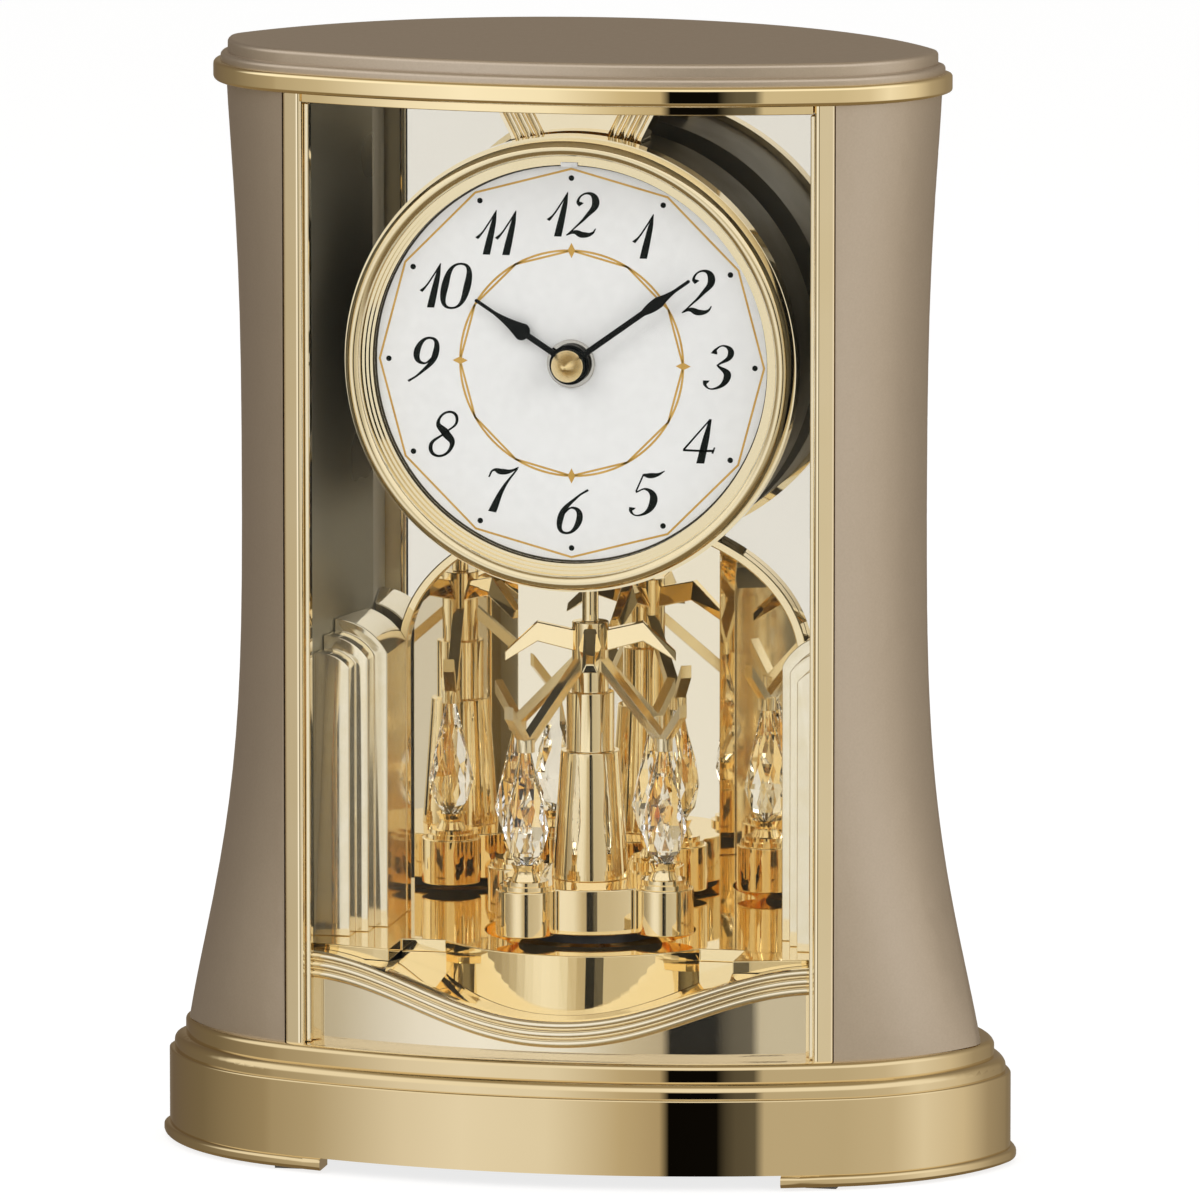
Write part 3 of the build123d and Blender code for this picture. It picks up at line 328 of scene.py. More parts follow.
looks = {
    "polishedGold": {"metal": 1.0, "low": (0.90, 0.75, 0.46), "high": (0.93, 0.79, 0.51), "toneScale": 18.0,
                     "rough": (0.008, 0.02), "roughScale": 60.0},
    "plinthGold": {"metal": 1.0, "low": (0.70, 0.57, 0.345), "high": (0.74, 0.61, 0.385), "toneScale": 14.0,
                   "rough": (0.006, 0.016), "roughScale": 50.0},
    "paleGold": {"metal": 1.0, "low": (0.93, 0.82, 0.59), "high": (0.96, 0.86, 0.65), "toneScale": 40.0,
                 "rough": (0.02, 0.05), "roughScale": 160.0},
    "roomGold": {"metal": 0.96, "low": (0.96, 0.80, 0.50), "high": (0.98, 0.85, 0.57), "toneScale": 25.0,
                 "rough": (0.012, 0.03), "roughScale": 60.0},
    "deepGold": {"metal": 0.97, "low": (0.98, 0.80, 0.46), "high": (1.0, 0.84, 0.52), "toneScale": 25.0,
                 "rough": (0.02, 0.05), "roughScale": 80.0},
    "apronGold": {"metal": 0.97, "low": (0.94, 0.85, 0.66), "high": (0.96, 0.88, 0.71), "toneScale": 30.0,
                  "rough": (0.015, 0.035), "roughScale": 60.0},
    "pipeGold": {"metal": 0.84, "low": (0.93, 0.84, 0.63), "high": (0.96, 0.89, 0.71), "toneScale": 220.0,
                 "rough": (0.06, 0.10), "roughScale": 300.0},
    "bezelGold": {"metal": 1.0, "low": (0.90, 0.78, 0.52), "high": (0.93, 0.82, 0.58), "toneScale": 40.0,
                  "rough": (0.02, 0.04), "roughScale": 160.0},
    "forkGold": {"metal": 0.95, "low": (0.96, 0.85, 0.60), "high": (0.98, 0.89, 0.67), "toneScale": 60.0,
                 "rough": (0.14, 0.20), "roughScale": 200.0},
    "capGold": {"metal": 1.0, "low": (0.90, 0.70, 0.36), "high": (0.92, 0.73, 0.40), "toneScale": 40.0,
                "rough": (0.24, 0.28), "roughScale": 60.0},
    "nutSteel": {"metal": 1.0, "low": (0.50, 0.49, 0.47), "high": (0.58, 0.57, 0.54), "toneScale": 80.0,
                 "rough": (0.08, 0.14), "roughScale": 200.0},
    # painted shade: near-black finish for the ring that stands in for the shadow between the dial and the bezel's
    # inner wall
    "paintedGapShade": {"metal": 0.0, "low": (0.035, 0.030, 0.020), "high": (0.055, 0.047, 0.032), "toneScale": 90.0,
                 "rough": (0.5, 0.6), "roughScale": 200.0},
    "taupePaint": {"metal": 0.85, "low": (0.525, 0.445, 0.360), "high": (0.555, 0.472, 0.386), "toneScale": 2400.0,
                   "rough": (0.33, 0.38), "roughScale": 900.0, "grain": (5200.0, 0.05, 0.00002)},
    "tintedMirror": {"metal": 0.90, "low": (0.96, 0.93, 0.86), "high": (0.98, 0.955, 0.89), "toneScale": 6.0,
                     "rough": (0.012, 0.025), "roughScale": 12.0},
    "amberMirror": {"metal": 0.96, "low": (0.96, 0.89, 0.72), "high": (0.98, 0.91, 0.76), "toneScale": 6.0,
                    "rough": (0.012, 0.025), "roughScale": 12.0},
    "smokyMirror": {"metal": 0.45, "low": (0.28, 0.253, 0.182), "high": (0.32, 0.292, 0.212), "toneScale": 8.0,
                    "rough": (0.26, 0.36), "roughScale": 20.0},
    "creamCeiling": {"metal": 0.5, "low": (0.72, 0.63, 0.45), "high": (0.77, 0.68, 0.50), "toneScale": 20.0,
                     "rough": (0.34, 0.44), "roughScale": 60.0},
    "dialWhite": {"metal": 0.0, "low": (0.87, 0.87, 0.85), "high": (0.91, 0.91, 0.89), "toneScale": 500.0,
                  "rough": (0.32, 0.42), "roughScale": 700.0, "grain": (2500.0, 0.05, 0.00002)},
    "inkBlack": {"metal": 0.0, "low": (0.004, 0.006, 0.005), "high": (0.008, 0.011, 0.009), "toneScale": 300.0,
                 "rough": (0.30, 0.42), "roughScale": 400.0, "specular": 0.1},
    "handBlack": {"metal": 0.0, "low": (0.004, 0.005, 0.005), "high": (0.008, 0.009, 0.009), "toneScale": 200.0,
                  "rough": (0.30, 0.40), "roughScale": 300.0, "specular": 0.1},
    "inkGold": {"metal": 0.35, "low": (0.62, 0.36, 0.07), "high": (0.74, 0.46, 0.12), "toneScale": 200.0,
                "rough": (0.28, 0.40), "roughScale": 300.0},
    "brightSteel": {"metal": 1.0, "low": (0.62, 0.62, 0.62), "high": (0.72, 0.72, 0.71), "toneScale": 120.0,
                    "rough": (0.10, 0.18), "roughScale": 200.0},
    "wheelBrass": {"metal": 1.0, "low": (0.66, 0.50, 0.24), "high": (0.74, 0.58, 0.30), "toneScale": 120.0,
                   "rough": (0.18, 0.28), "roughScale": 220.0},
    "drumOlive": {"metal": 0.25, "low": (0.19, 0.172, 0.122), "high": (0.23, 0.21, 0.155), "toneScale": 60.0,
                  "rough": (0.40, 0.50), "roughScale": 160.0},
    "blackMoulding": {"metal": 0.0, "low": (0.018, 0.018, 0.019), "high": (0.030, 0.030, 0.031), "toneScale": 300.0,
                      "rough": (0.42, 0.56), "roughScale": 500.0, "grain": (1400.0, 0.12, 0.00005)},
    "backMoulding": {"metal": 0.0, "low": (0.176, 0.150, 0.129), "high": (0.190, 0.162, 0.140), "toneScale": 1800.0,
                     "rough": (0.46, 0.60), "roughScale": 500.0, "grain": (1500.0, 0.15, 0.00006)},
    "baseSheet": {"metal": 0.5, "low": (0.050, 0.047, 0.044), "high": (0.070, 0.066, 0.062), "toneScale": 150.0,
                  "rough": (0.36, 0.50), "roughScale": 300.0, "grain": (900.0, 0.10, 0.00005)},
    "padRubber": {"metal": 0.0, "low": (0.20, 0.20, 0.20), "high": (0.27, 0.27, 0.26), "toneScale": 500.0,
                  "rough": (0.70, 0.85), "roughScale": 400.0, "grain": (1800.0, 0.25, 0.00008)},
    "coilCopper": {"metal": 1.0, "low": (0.55, 0.24, 0.11), "high": (0.72, 0.36, 0.20), "toneScale": 500.0,
                   "rough": (0.25, 0.35), "roughScale": 300.0, "grain": (900.0, 0.30, 0.0001)},
    "ferriteGrey": {"metal": 0.2, "low": (0.07, 0.07, 0.075), "high": (0.10, 0.10, 0.105), "toneScale": 250.0,
                    "rough": (0.50, 0.65), "roughScale": 300.0, "grain": (900.0, 0.20, 0.00006)},
    "cellWrap": {"metal": 0.3, "low": (0.04, 0.05, 0.06), "high": (0.07, 0.08, 0.09), "toneScale": 120.0,
                 "rough": (0.22, 0.34), "roughScale": 240.0},
}


clearLooks = {
    "clearPane": {"colour": (0.02, 0.025, 0.024), "alpha": 0.04, "through": 0.0, "ior": 1.5, "rough": (0.01, 0.03),
                  "roughScale": 30.0},
    "crystalDrop": {"colour": (0.99, 0.985, 0.97), "alpha": 1.0, "through": 1.0, "ior": 1.54, "rough": (0.0, 0.015),
                    "roughScale": 80.0},
}


def clearFinish(name, look):
    finish, nodes, links, shader = startFinish(name)
    shader.inputs["Base Color"].default_value = (*look["colour"], 1)
    shader.inputs["Alpha"].default_value = look["alpha"]
    shader.inputs["Transmission Weight"].default_value = look["through"]
    shader.inputs["IOR"].default_value = look["ior"]
    roughBetween(nodes, links, noiseField(nodes, links, look["roughScale"]), *look["rough"], shader)
    return finish


# steps that the pieces share
cleanUp = {
    "merge": 0.002,  # mm between corners that are one
    "weld": 0.001,
    "flat": 0.4,  # degrees between faces that are one
}


def meshFrom(shape, name, sharpAngle=None):
    mesh = bpy.data.meshes.new(name)
    if sharpAngle is not None:
        for face in shape.faces:
            face.smooth = True
    shape.to_mesh(mesh)
    shape.free()
    if sharpAngle is not None:
        mesh.set_sharp_from_angle(angle=math.radians(sharpAngle))
    return mesh


def joinShape(whole, shape):
    part = meshFrom(shape, "joinedPart")
    whole.from_mesh(part)
    bpy.data.meshes.remove(part)


def addPiece(name, mesh, finish, body, nodeNames=()):
    piece = bpy.data.objects.new(name, mesh)
    bpy.context.scene.collection.objects.link(piece)
    mesh.materials.append(finish)
    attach(piece, body)
    if nodeNames:
        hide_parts(*nodeNames)
    return piece


def standFor(nodeName, pieceName, mesh, finish):
    return addPiece(pieceName, mesh, finish, frame["nodes"][nodeName]["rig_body"], [nodeName])


def evenNormals(piece):
    piece.modifiers.new("evenNormals", "WEIGHTED_NORMAL").keep_sharp = True


def mergedNode(nodeName):
    shape = bmesh.new()
    shape.from_mesh(frame["nodes"][nodeName].data)
    bmesh.ops.remove_doubles(shape, verts=shape.verts, dist=cleanUp["merge"] * mm)
    bmesh.ops.dissolve_limit(shape, angle_limit=math.radians(cleanUp["flat"]), verts=shape.verts, edges=shape.edges)
    return shape


def extrudeCap(shape, cap):
    grown = bmesh.ops.extrude_face_region(shape, geom=[cap])["geom"]
    verts = [part for part in grown if isinstance(part, bmesh.types.BMVert)]
    caps = [part for part in grown if isinstance(part, bmesh.types.BMFace)]
    return verts, caps[0]


def bevelledBox(shape, low, high, rounding, place=Matrix.Identity(4)):
    low = Vector(low) * mm
    high = Vector(high) * mm
    size = Matrix.Diagonal((*(high - low), 1))
    made = bmesh.ops.create_cube(shape, size=1, matrix=place @ Matrix.Translation((low + high) / 2) @ size)
    edges = list({edge for vert in made["verts"] for edge in vert.link_edges})
    bmesh.ops.bevel(shape, geom=edges, offset=rounding * mm, segments=2, profile=0.5, affect="EDGES", material=-1)


# pieces that keep the shape of their CAD node, with merged and smoothed faces
softRim = {"sharp": 22, "from": 30, "segments": 2}  # degrees where an edge stays sharp and where it is rounded


def smoothCopy(nodeName, pieceName, finish, rim):
    mesh = meshFrom(mergedNode(nodeName), pieceName, softRim["sharp"])
    piece = standFor(nodeName, pieceName, mesh, finish)
    if rim:
        bevel = piece.modifiers.new("softRim", "BEVEL")
        bevel.width = rim * mm
        bevel.segments = softRim["segments"]
        bevel.limit_method = "ANGLE"
        bevel.angle_limit = math.radians(softRim["from"])
        bevel.harden_normals = True
    else:
        evenNormals(piece)


dressed = [  # CAD node, piece name, finish, softened rim in mm
    ("base_plinth", "plinthShell", "plinthGold", 0.0),
    ("foot_rails", "footRails", "plinthGold", 0.0),
    ("left_side_panel", "leftPanel", "taupePaint", 0.0),
    ("right_side_panel", "rightPanel", "taupePaint", 0.0),
    ("left_column", "leftColumn", "paleGold", 0.0),
    ("right_column", "rightColumn", "paleGold", 0.0),
    ("top_rail", "glassTopRail", "polishedGold", 0.15),
    ("hanger_bracket", "keystone", "paleGold", 0.15),
    ("stage_floor", "stageDeck", "deepGold", 0.25),
    ("left_pipe_block", "leftPipes", "pipeGold", 0.25),
    ("right_pipe_block", "rightPipes", "pipeGold", 0.25),
    ("arch_trim", "doorwayFrame", "roomGold", 0.3),
    ("dial_drum", "dialDrum", "drumOlive", 0.0),
    ("hour_hand", "hourHand", "handBlack", 0.08),
    ("minute_hand", "minuteHand", "handBlack", 0.08),
    ("centre_nut", "centreNut", "nutSteel", 0.1),
    ("pendulum_platform", "pendulumPlatform", "roomGold", 0.3),
    ("crystal_cups", "crystalCups", "roomGold", 0.0),
    ("crystal_forks", "crystalForks", "forkGold", 0.2),
    ("pendulum_column", "pendulumColumn", "roomGold", 0.2),
    ("back_cover", "backCover", "backMoulding", 0.0),
    ("battery_door", "batteryDoor", "backMoulding", 0.0),
    ("setting_knob", "settingKnob", "blackMoulding", 0.15),
    ("dial_plate", "dialPlate", "dialWhite", 0.0),
]
plainNodes = {
    "back_mirror": "tintedMirror", "alcove_mirror": "amberMirror",
    "left_inner_wall": "smokyMirror", "right_inner_wall": "smokyMirror",
    "ceiling_plate": "creamCeiling", "base_plate": "baseSheet", "foot_pads": "padRubber",
    "battery_tray": "blackMoulding", "battery_cell": "cellWrap", "movement_case": "blackMoulding",
    "movement_plate": "blackMoulding", "minute_arbor": "brightSteel", "hour_wheel": "wheelBrass",
    "setting_wheel": "brightSteel", "pivot_bush": "wheelBrass", "guide_bush": "wheelBrass",
    "drive_coil": "coilCopper", "drive_magnet": "ferriteGrey", "front_glass": "clearPane", "crystals": "crystalDrop",
}


def dressNodes(finishes):
    for nodeName, pieceName, finishName, rim in dressed:
        smoothCopy(nodeName, pieceName, finishes[finishName], rim)
    for nodeName, finishName in plainNodes.items():
        mesh = frame["nodes"][nodeName].data
        mesh.materials.clear()
        mesh.materials.append(finishes[finishName])


# wave apron: a sheet folded round its section at each place along the bow, with three round ribs under the wave
apron = {
    "half": 50.1,
    "waveHalf": 49.4,
    "wavePower": 1.09,
    "foot": 24.3,
    "end": 41.9,
    "low": 31.3,
    "bowRadius": 145.4,
    "bowCentre": 110.2,
    "ribs": 3,
    "ribPitch": 1.75,
    "ribReach": 0.8,
    "ribSwell": 0.7,  # power of the sine, under 1 for a fuller rib
    "ribSteps": 8,
    "wallSteps": 4,
    "ledgeSteps": 4,
    "podiumRadius": 30.85,
    "podiumBack": 2.0,
    "ledgeHalf": 33.9,
    "ledgeRear": -15.7,
    "deckBase": 40.55,
    "bandThickness": 3.0,
    "stations": 360,
    "sharp": 40,
}


def apronSection(x):
    reach = min(abs(x), apron["waveHalf"])
    share = (reach / apron["waveHalf"]) ** apron["wavePower"]
    top = apron["low"] + (apron["end"] - apron["low"]) * (1 - math.cos(math.pi * share)) / 2
    face = apron["bowCentre"] - math.sqrt(apron["bowRadius"] ** 2 - x ** 2)
    ribFoot = top - apron["ribs"] * apron["ribPitch"]
    points = []
    for step in range(apron["wallSteps"]):
        points.append((face, apron["foot"] + (ribFoot - apron["foot"]) * step / apron["wallSteps"]))
    for step in range(apron["ribs"] * apron["ribSteps"]):
        turn = step % apron["ribSteps"] / apron["ribSteps"]
        swell = math.sin(math.pi * turn) ** apron["ribSwell"]
        points.append((face - apron["ribReach"] * swell, ribFoot + apron["ribPitch"] * step / apron["ribSteps"]))
    rear = face + apron["bandThickness"]
    rise = max(apron["deckBase"] - top, 0)
    if abs(x) < apron["ledgeHalf"]:
        rear = apron["ledgeRear"]
        rise = 0
        if abs(x) < apron["podiumRadius"]:
            rear = min(rear, apron["podiumBack"] - math.sqrt(apron["podiumRadius"] ** 2 - x ** 2))
    for step in range(apron["ledgeSteps"] + 1):
        along = step / apron["ledgeSteps"]
        points.append((face + (rear - face) * along, top + rise * along))
    points.append((rear, apron["foot"]))
    points.append((face, apron["foot"]))
    return points


def makeApron(finish):
    sheet = bmesh.new()
    columns = len(apronSection(0)) - 1
    bmesh.ops.create_grid(sheet, x_segments=apron["stations"], y_segments=columns, size=0.5)
    for vert in sheet.verts:
        x = vert.co.x * 2 * apron["half"]
        y, z = apronSection(x)[round((vert.co.y + 0.5) * columns)]
        vert.co = Vector((x, y, z)) * mm
    bmesh.ops.remove_doubles(sheet, verts=sheet.verts, dist=cleanUp["weld"] * mm)
    bmesh.ops.holes_fill(sheet, edges=sheet.edges)
    bmesh.ops.recalc_face_normals(sheet, faces=sheet.faces)
    standFor("wave_apron", "waveApron", meshFrom(sheet, "waveApron", apron["sharp"]), finish)


# wing leaves: a ridged bar drawn from the hub over the peak to a thin tip
wing = {
    "count": 4,
    "angle": 11.0,
    "back": 2.0,
    "stations": [  # reach, drop below the hub's top, width, height
        (3.2, 3.6, 4.4, 4.0), (10.3, 1.9, 4.4, 3.7), (16.7, 6.9, 3.2, 1.7),
    ],
    "crest": 0.5,  # share of the width left at the top
    "rim": 0.18,
    "rimSegments": 2,
}


def makeWings(finish):
    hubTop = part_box("wing_arms")[1].z
    leaves = bmesh.new()
    for turn in range(wing["count"]):
        heading = math.radians(wing["angle"] + turn * 360 / wing["count"])
        frameAt = Matrix.Translation((0, wing["back"] * mm, hubTop)) @ Matrix.Rotation(heading, 4, "Z")
        made = bmesh.ops.create_circle(leaves, cap_ends=True, segments=4, radius=math.sqrt(0.5),
                                       matrix=Matrix.Rotation(quarterTurn / 2, 4, "Z"))
        ends = made["verts"]
        crestVerts = [vert for vert in ends if vert.co.x < 0]
        bmesh.ops.scale(leaves, vec=(1, wing["crest"], 1), verts=crestVerts)
        cap = ends[0].link_faces[0]
        lastPlace = Matrix.Identity(4)
        for reach, drop, width, height in wing["stations"]:
            place = frameAt @ Matrix.Translation((reach * mm, 0, -drop * mm))
            place = place @ Matrix.Rotation(quarterTurn, 4, "Y")
            place = place @ Matrix.Diagonal((height * mm, width * mm, 1, 1))
            if reach != wing["stations"][0][0]:
                ends, cap = extrudeCap(leaves, cap)
            bmesh.ops.transform(leaves, matrix=place @ lastPlace.inverted(), verts=ends)
            lastPlace = place
    bmesh.ops.recalc_face_normals(leaves, faces=leaves.faces)
    piece = standFor("wing_arms", "wingLeaves", meshFrom(leaves, "wingLeaves"), finish)
    bevel = piece.modifiers.new("softRim", "BEVEL")
    bevel.width = wing["rim"] * mm
    bevel.segments = wing["rimSegments"]


# band and lid: plans cut from the solid nodes, raised again with even rounded rims
mouldings = {
    # each step: level of the cut, base, top and whether the lower rim is rounded too
    "lidBand": {"node": "top_band", "steps": [(1.95, 0.0, 3.9, True)]},
    "lidTop": {"node": "top_lid", "steps": [(0.35, 0.0, 1.6, False), (2.45, 1.6, 4.2, False)]},
    "round": 0.88,
    "segments": 6,
    "inset": 0.3,
    "nearBase": 0.01,
    "flatCorners": 8,  # faces with more corners are the flat top and bottom
    "sharp": 35,
}


def planFace(nodeName, level):
    shape = mergedNode(nodeName)
    parts = shape.verts[:] + shape.edges[:] + shape.faces[:]
    bmesh.ops.bisect_plane(shape, geom=parts, plane_co=(0, 0, level), plane_no=(0, 0, 1), clear_inner=True,
                           clear_outer=True)
    # keep the outer loop of the cut, found from its widest corner
    outer = {max(shape.verts, key=lambda vert: vert.co.x)}
    fresh = list(outer)
    while fresh:
        vert = fresh.pop()
        for edge in vert.link_edges:
            other = edge.other_vert(vert)
            if other not in outer:
                outer.add(other)
                fresh.append(other)
    bmesh.ops.delete(shape, geom=[vert for vert in shape.verts if vert not in outer], context="VERTS")
    bmesh.ops.contextual_create(shape, geom=shape.edges[:])
    return shape


def makeMoulding(pieceName, finish):
    look = mouldings[pieceName]
    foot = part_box(look["node"])[0].z
    joined = bmesh.new()
    for cut, base, top, lowerRim in look["steps"]:
        shape = planFace(look["node"], foot + cut * mm)
        bottom = shape.faces[:][0]
        bmesh.ops.translate(shape, vec=(0, 0, (base - cut) * mm), verts=shape.verts)
        raisedVerts, upper = extrudeCap(shape, bottom)
        bmesh.ops.translate(shape, vec=(0, 0, (top - base) * mm), verts=raisedVerts)
        rims = list(upper.edges)
        if lowerRim:
            lowest = foot + (base + mouldings["nearBase"]) * mm
            rims += [edge for edge in shape.edges if all(vert.co.z < lowest for vert in edge.verts)]
        bmesh.ops.bevel(shape, geom=rims, offset=mouldings["round"] * mm, segments=mouldings["segments"], profile=0.5,
                        affect="EDGES", material=-1)
        flats = [face for face in shape.faces if len(face.verts) > mouldings["flatCorners"]]
        bmesh.ops.inset_region(shape, faces=flats, thickness=mouldings["inset"] * mm)
        bmesh.ops.recalc_face_normals(shape, faces=shape.faces)
        joinShape(joined, shape)
    evenNormals(standFor(look["node"], pieceName, meshFrom(joined, pieceName, mouldings["sharp"]), finish))


# bezel and hand cap: profiles of radius and height spun about the dial's axis
bezelRing = {
    "inner": 38.9,
    "stepRun": 0.65,
    "stepDrop": 0.7,
    "stepCount": 3,
    "beadLow": 4.1,
    "beadOuter": 43.8,
    "front": 5.5,
    "flangeFront": 1.7,
    "outer": 44.5,
    "lap": 43.25,
    "beadSteps": 16,
    "spinSteps": 240,
}
coneCap = {
    "profile": [(0.0, 4.2), (0.3, 4.16), (0.6, 4.0), (3.0, 0.86), (3.08, 0.72), (3.1, 0.6), (3.1, 0.02)],
    "spinSteps": 96,
}
turnedSharp = 35


def spunPiece(pieceName, nodeName, profile, steps, finish, closed):
    shape = bmesh.new()
    verts = [shape.verts.new((radius * mm, 0, level * mm)) for radius, level in profile]
    edges = [shape.edges.new(pair) for pair in zip(verts, verts[1:])]
    if closed:
        edges.append(shape.edges.new((verts[-1], verts[0])))
    bmesh.ops.spin(shape, geom=verts + edges, cent=(0, 0, 0), axis=(0, 0, 1), angle=2 * math.pi, steps=steps,
                   use_merge=True)
    bmesh.ops.remove_doubles(shape, verts=shape.verts, dist=cleanUp["weld"] * mm)
    bmesh.ops.holes_fill(shape, edges=shape.edges)
    bmesh.ops.recalc_face_normals(shape, faces=shape.faces)
    bmesh.ops.transform(shape, matrix=dialAxis, verts=shape.verts)
    standFor(nodeName, pieceName, meshFrom(shape, pieceName, turnedSharp), finish)


def makeBezel(finish):
    ring = bezelRing
    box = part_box("dial_bezel")
    face = -box[0].y / mm - ring["front"]
    rear = -box[1].y / mm
    beadInner = ring["inner"] + ring["stepCount"] * ring["stepRun"]
    profile = [(ring["lap"], rear), (ring["lap"], face), (ring["inner"], face)]
    for step in range(ring["stepCount"]):
        radius = ring["inner"] + step * ring["stepRun"]
        level = face + ring["beadLow"] - (ring["stepCount"] - step) * ring["stepDrop"]
        profile += [(radius, level), (radius + ring["stepRun"], level)]
    middle = (beadInner + ring["beadOuter"]) / 2
    half = (ring["beadOuter"] - beadInner) / 2
    rise = ring["front"] - ring["beadLow"]
    for step in range(ring["beadSteps"] + 1):
        turn = math.pi * (1 - step / ring["beadSteps"])
        profile.append((middle + half * math.cos(turn), face + ring["beadLow"] + rise * math.sin(turn)))
    flange = face + ring["flangeFront"]
    profile += [(ring["beadOuter"], flange), (ring["outer"], flange), (ring["outer"], rear)]
    spunPiece("dialRing", "dial_bezel", profile, ring["spinSteps"], finish, True)


def makeCap(finish):
    foot = -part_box("hand_cap")[1].y / mm
    profile = [(radius, foot + level) for radius, level in coneCap["profile"]]
    spunPiece("handCap", "hand_cap", profile, coneCap["spinSteps"], finish, False)


# riser plates that close the stage beside its podium, and glazing strips beside the pane
riser = {"inner": 24.9, "outer": 33.95, "front": -15.65, "rear": -14.95, "low": 30.0, "high": 40.45, "round": 0.1}
strip = {"inner": 49.2, "outer": 50.15, "front": -28.9, "rear": -26.4, "low": 24.35, "high": 208.2, "round": 0.25}


def makeBars(pieceName, bar, finish):
    bars = bmesh.new()
    for side in (-1, 1):
        left, right = sorted((side * bar["inner"], side * bar["outer"]))
        bevelledBox(bars, (left, bar["front"], bar["low"]), (right, bar["rear"], bar["high"]), bar["round"])
    addPiece(pieceName, meshFrom(bars, pieceName), finish, "case")


# small locating tab over the twelve
tab = {"half": 1.65, "inner": 38.55, "outer": 39.5, "low": 2.02, "high": 2.5, "round": 0.12}


def makeTab(finish):
    block = bmesh.new()
    lowCorner = (-tab["half"], tab["inner"], tab["low"])
    highCorner = (tab["half"], tab["outer"], tab["high"])
    bevelledBox(block, lowCorner, highCorner, tab["round"], dialFrame)
    addPiece("dialTab", meshFrom(block, "dialTab"), finish, "case")


# back of the case: four screws in the cover and grip ribs on the battery door
backScrew = {
    "places": [(-47.0, 36.0), (47.0, 36.0), (-47.0, 199.0), (47.0, 199.0)],
    "radius": 2.2,
    "topRadius": 2.05,
    "height": 0.9,
    "sunk": 0.15,
    "sides": 32,
    "rim": 0.3,
    "rimSteps": 3,
    "crossHalf": 1.25,
    "crossWidth": 0.5,
    "crossDepth": 0.3,
    "crossProud": 0.02,
    "crossRound": 0.01,
    "probe": 100.0,  # the seat is looked for from this far behind
}
doorRib = {"count": 4, "pitch": 1.7, "half": 5.0, "height": 0.8, "proud": 0.45, "sunk": 0.4, "round": 0.18}


def makeScrews(headFinish, crossShadeFinish):
    cover = bmesh.new()
    cover.from_mesh(frame["nodes"]["back_cover"].data)
    skin = BVHTree.FromBMesh(cover)
    cover.free()
    heads = bmesh.new()
    crosses = bmesh.new()
    look = backScrew
    for x, z in look["places"]:
        spot, normal = skin.ray_cast(Vector((x, look["probe"], z)) * mm, Vector((0, -1, 0)))[:2]
        seat = Matrix.Translation(spot) @ normal.to_track_quat("Z", "Y").to_matrix().to_4x4()
        lift = Matrix.Translation((0, 0, (look["height"] / 2 - look["sunk"]) * mm))
        made = bmesh.ops.create_cone(heads, cap_ends=True, segments=look["sides"], radius1=look["radius"] * mm,
                                     radius2=look["topRadius"] * mm, depth=look["height"] * mm, matrix=seat @ lift)
        top = max({face for vert in made["verts"] for face in vert.link_faces if len(face.verts) > 4},
                  key=lambda face: (face.calc_center_median() - spot).dot(normal))
        bmesh.ops.bevel(heads, geom=list(top.edges), offset=look["rim"] * mm, segments=look["rimSteps"], profile=0.5,
                        affect="EDGES", material=-1)
        level = look["height"] - look["sunk"]
        half = look["crossHalf"]
        thin = look["crossWidth"] / 2
        # each cross is a black box reaching just past the head's top: painted shade standing in for the shadow inside
        # the cross recess
        for along, across in ((half, thin), (thin, half)):
            lowCorner = (-along, -across, level - look["crossDepth"])
            highCorner = (along, across, level + look["crossProud"])
            bevelledBox(crosses, lowCorner, highCorner, look["crossRound"], seat)
    addPiece("backScrews", meshFrom(heads, "backScrews"), headFinish, "case")
    addPiece("screwCrossShade", meshFrom(crosses, "screwCrossShade"), crossShadeFinish, "case")


def makeDoorRibs(finish):
    low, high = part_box("battery_door")
    middle = (low.z + high.z) / 2 / mm
    face = high.y / mm
    ribs = bmesh.new()
    for index in range(doorRib["count"]):
        level = middle + (index - (doorRib["count"] - 1) / 2) * doorRib["pitch"]
        bevelledBox(ribs, (-doorRib["half"], face - doorRib["sunk"], level - doorRib["height"] / 2),
                    (doorRib["half"], face + doorRib["proud"], level + doorRib["height"] / 2), doorRib["round"])
    addPiece("doorRibs", meshFrom(ribs, "doorRibs"), finish, "door")


# dial print: numerals as pen strokes, hour dots and fine gold lines
dialPrint = {
    "numeralHeight": 8.7,
    "penWeight": 1.08,
    # radii of the ring of painted shade where the bezel's inner wall shades the dial's edge
    "paintedShadeRing": (38.45, 38.88),
    "numeralRing": 29.0,
    "slant": 0.23,
    "stretch": 1.2,
    "digitGap": 0.45,
    "oneGap": 0.37,
    "digitMiddle": (0.28, 0.5),
    "penSteps": 10,
    "dotRing": 36.1,
    "dotRadius": 0.55,
    "dotSides": 24,
    "outerRing": 37.9,
    "innerRing": 22.0,
    "lineWidth": 0.42,
    "lineLift": 0.7,  # share of the print's thickness
    "lineSides": 12,
    "circleSides": 96,
    "paintedShadeSides": 128,
    "lozenge": (3.0, 1.5),
    "thickness": 0.03,
}
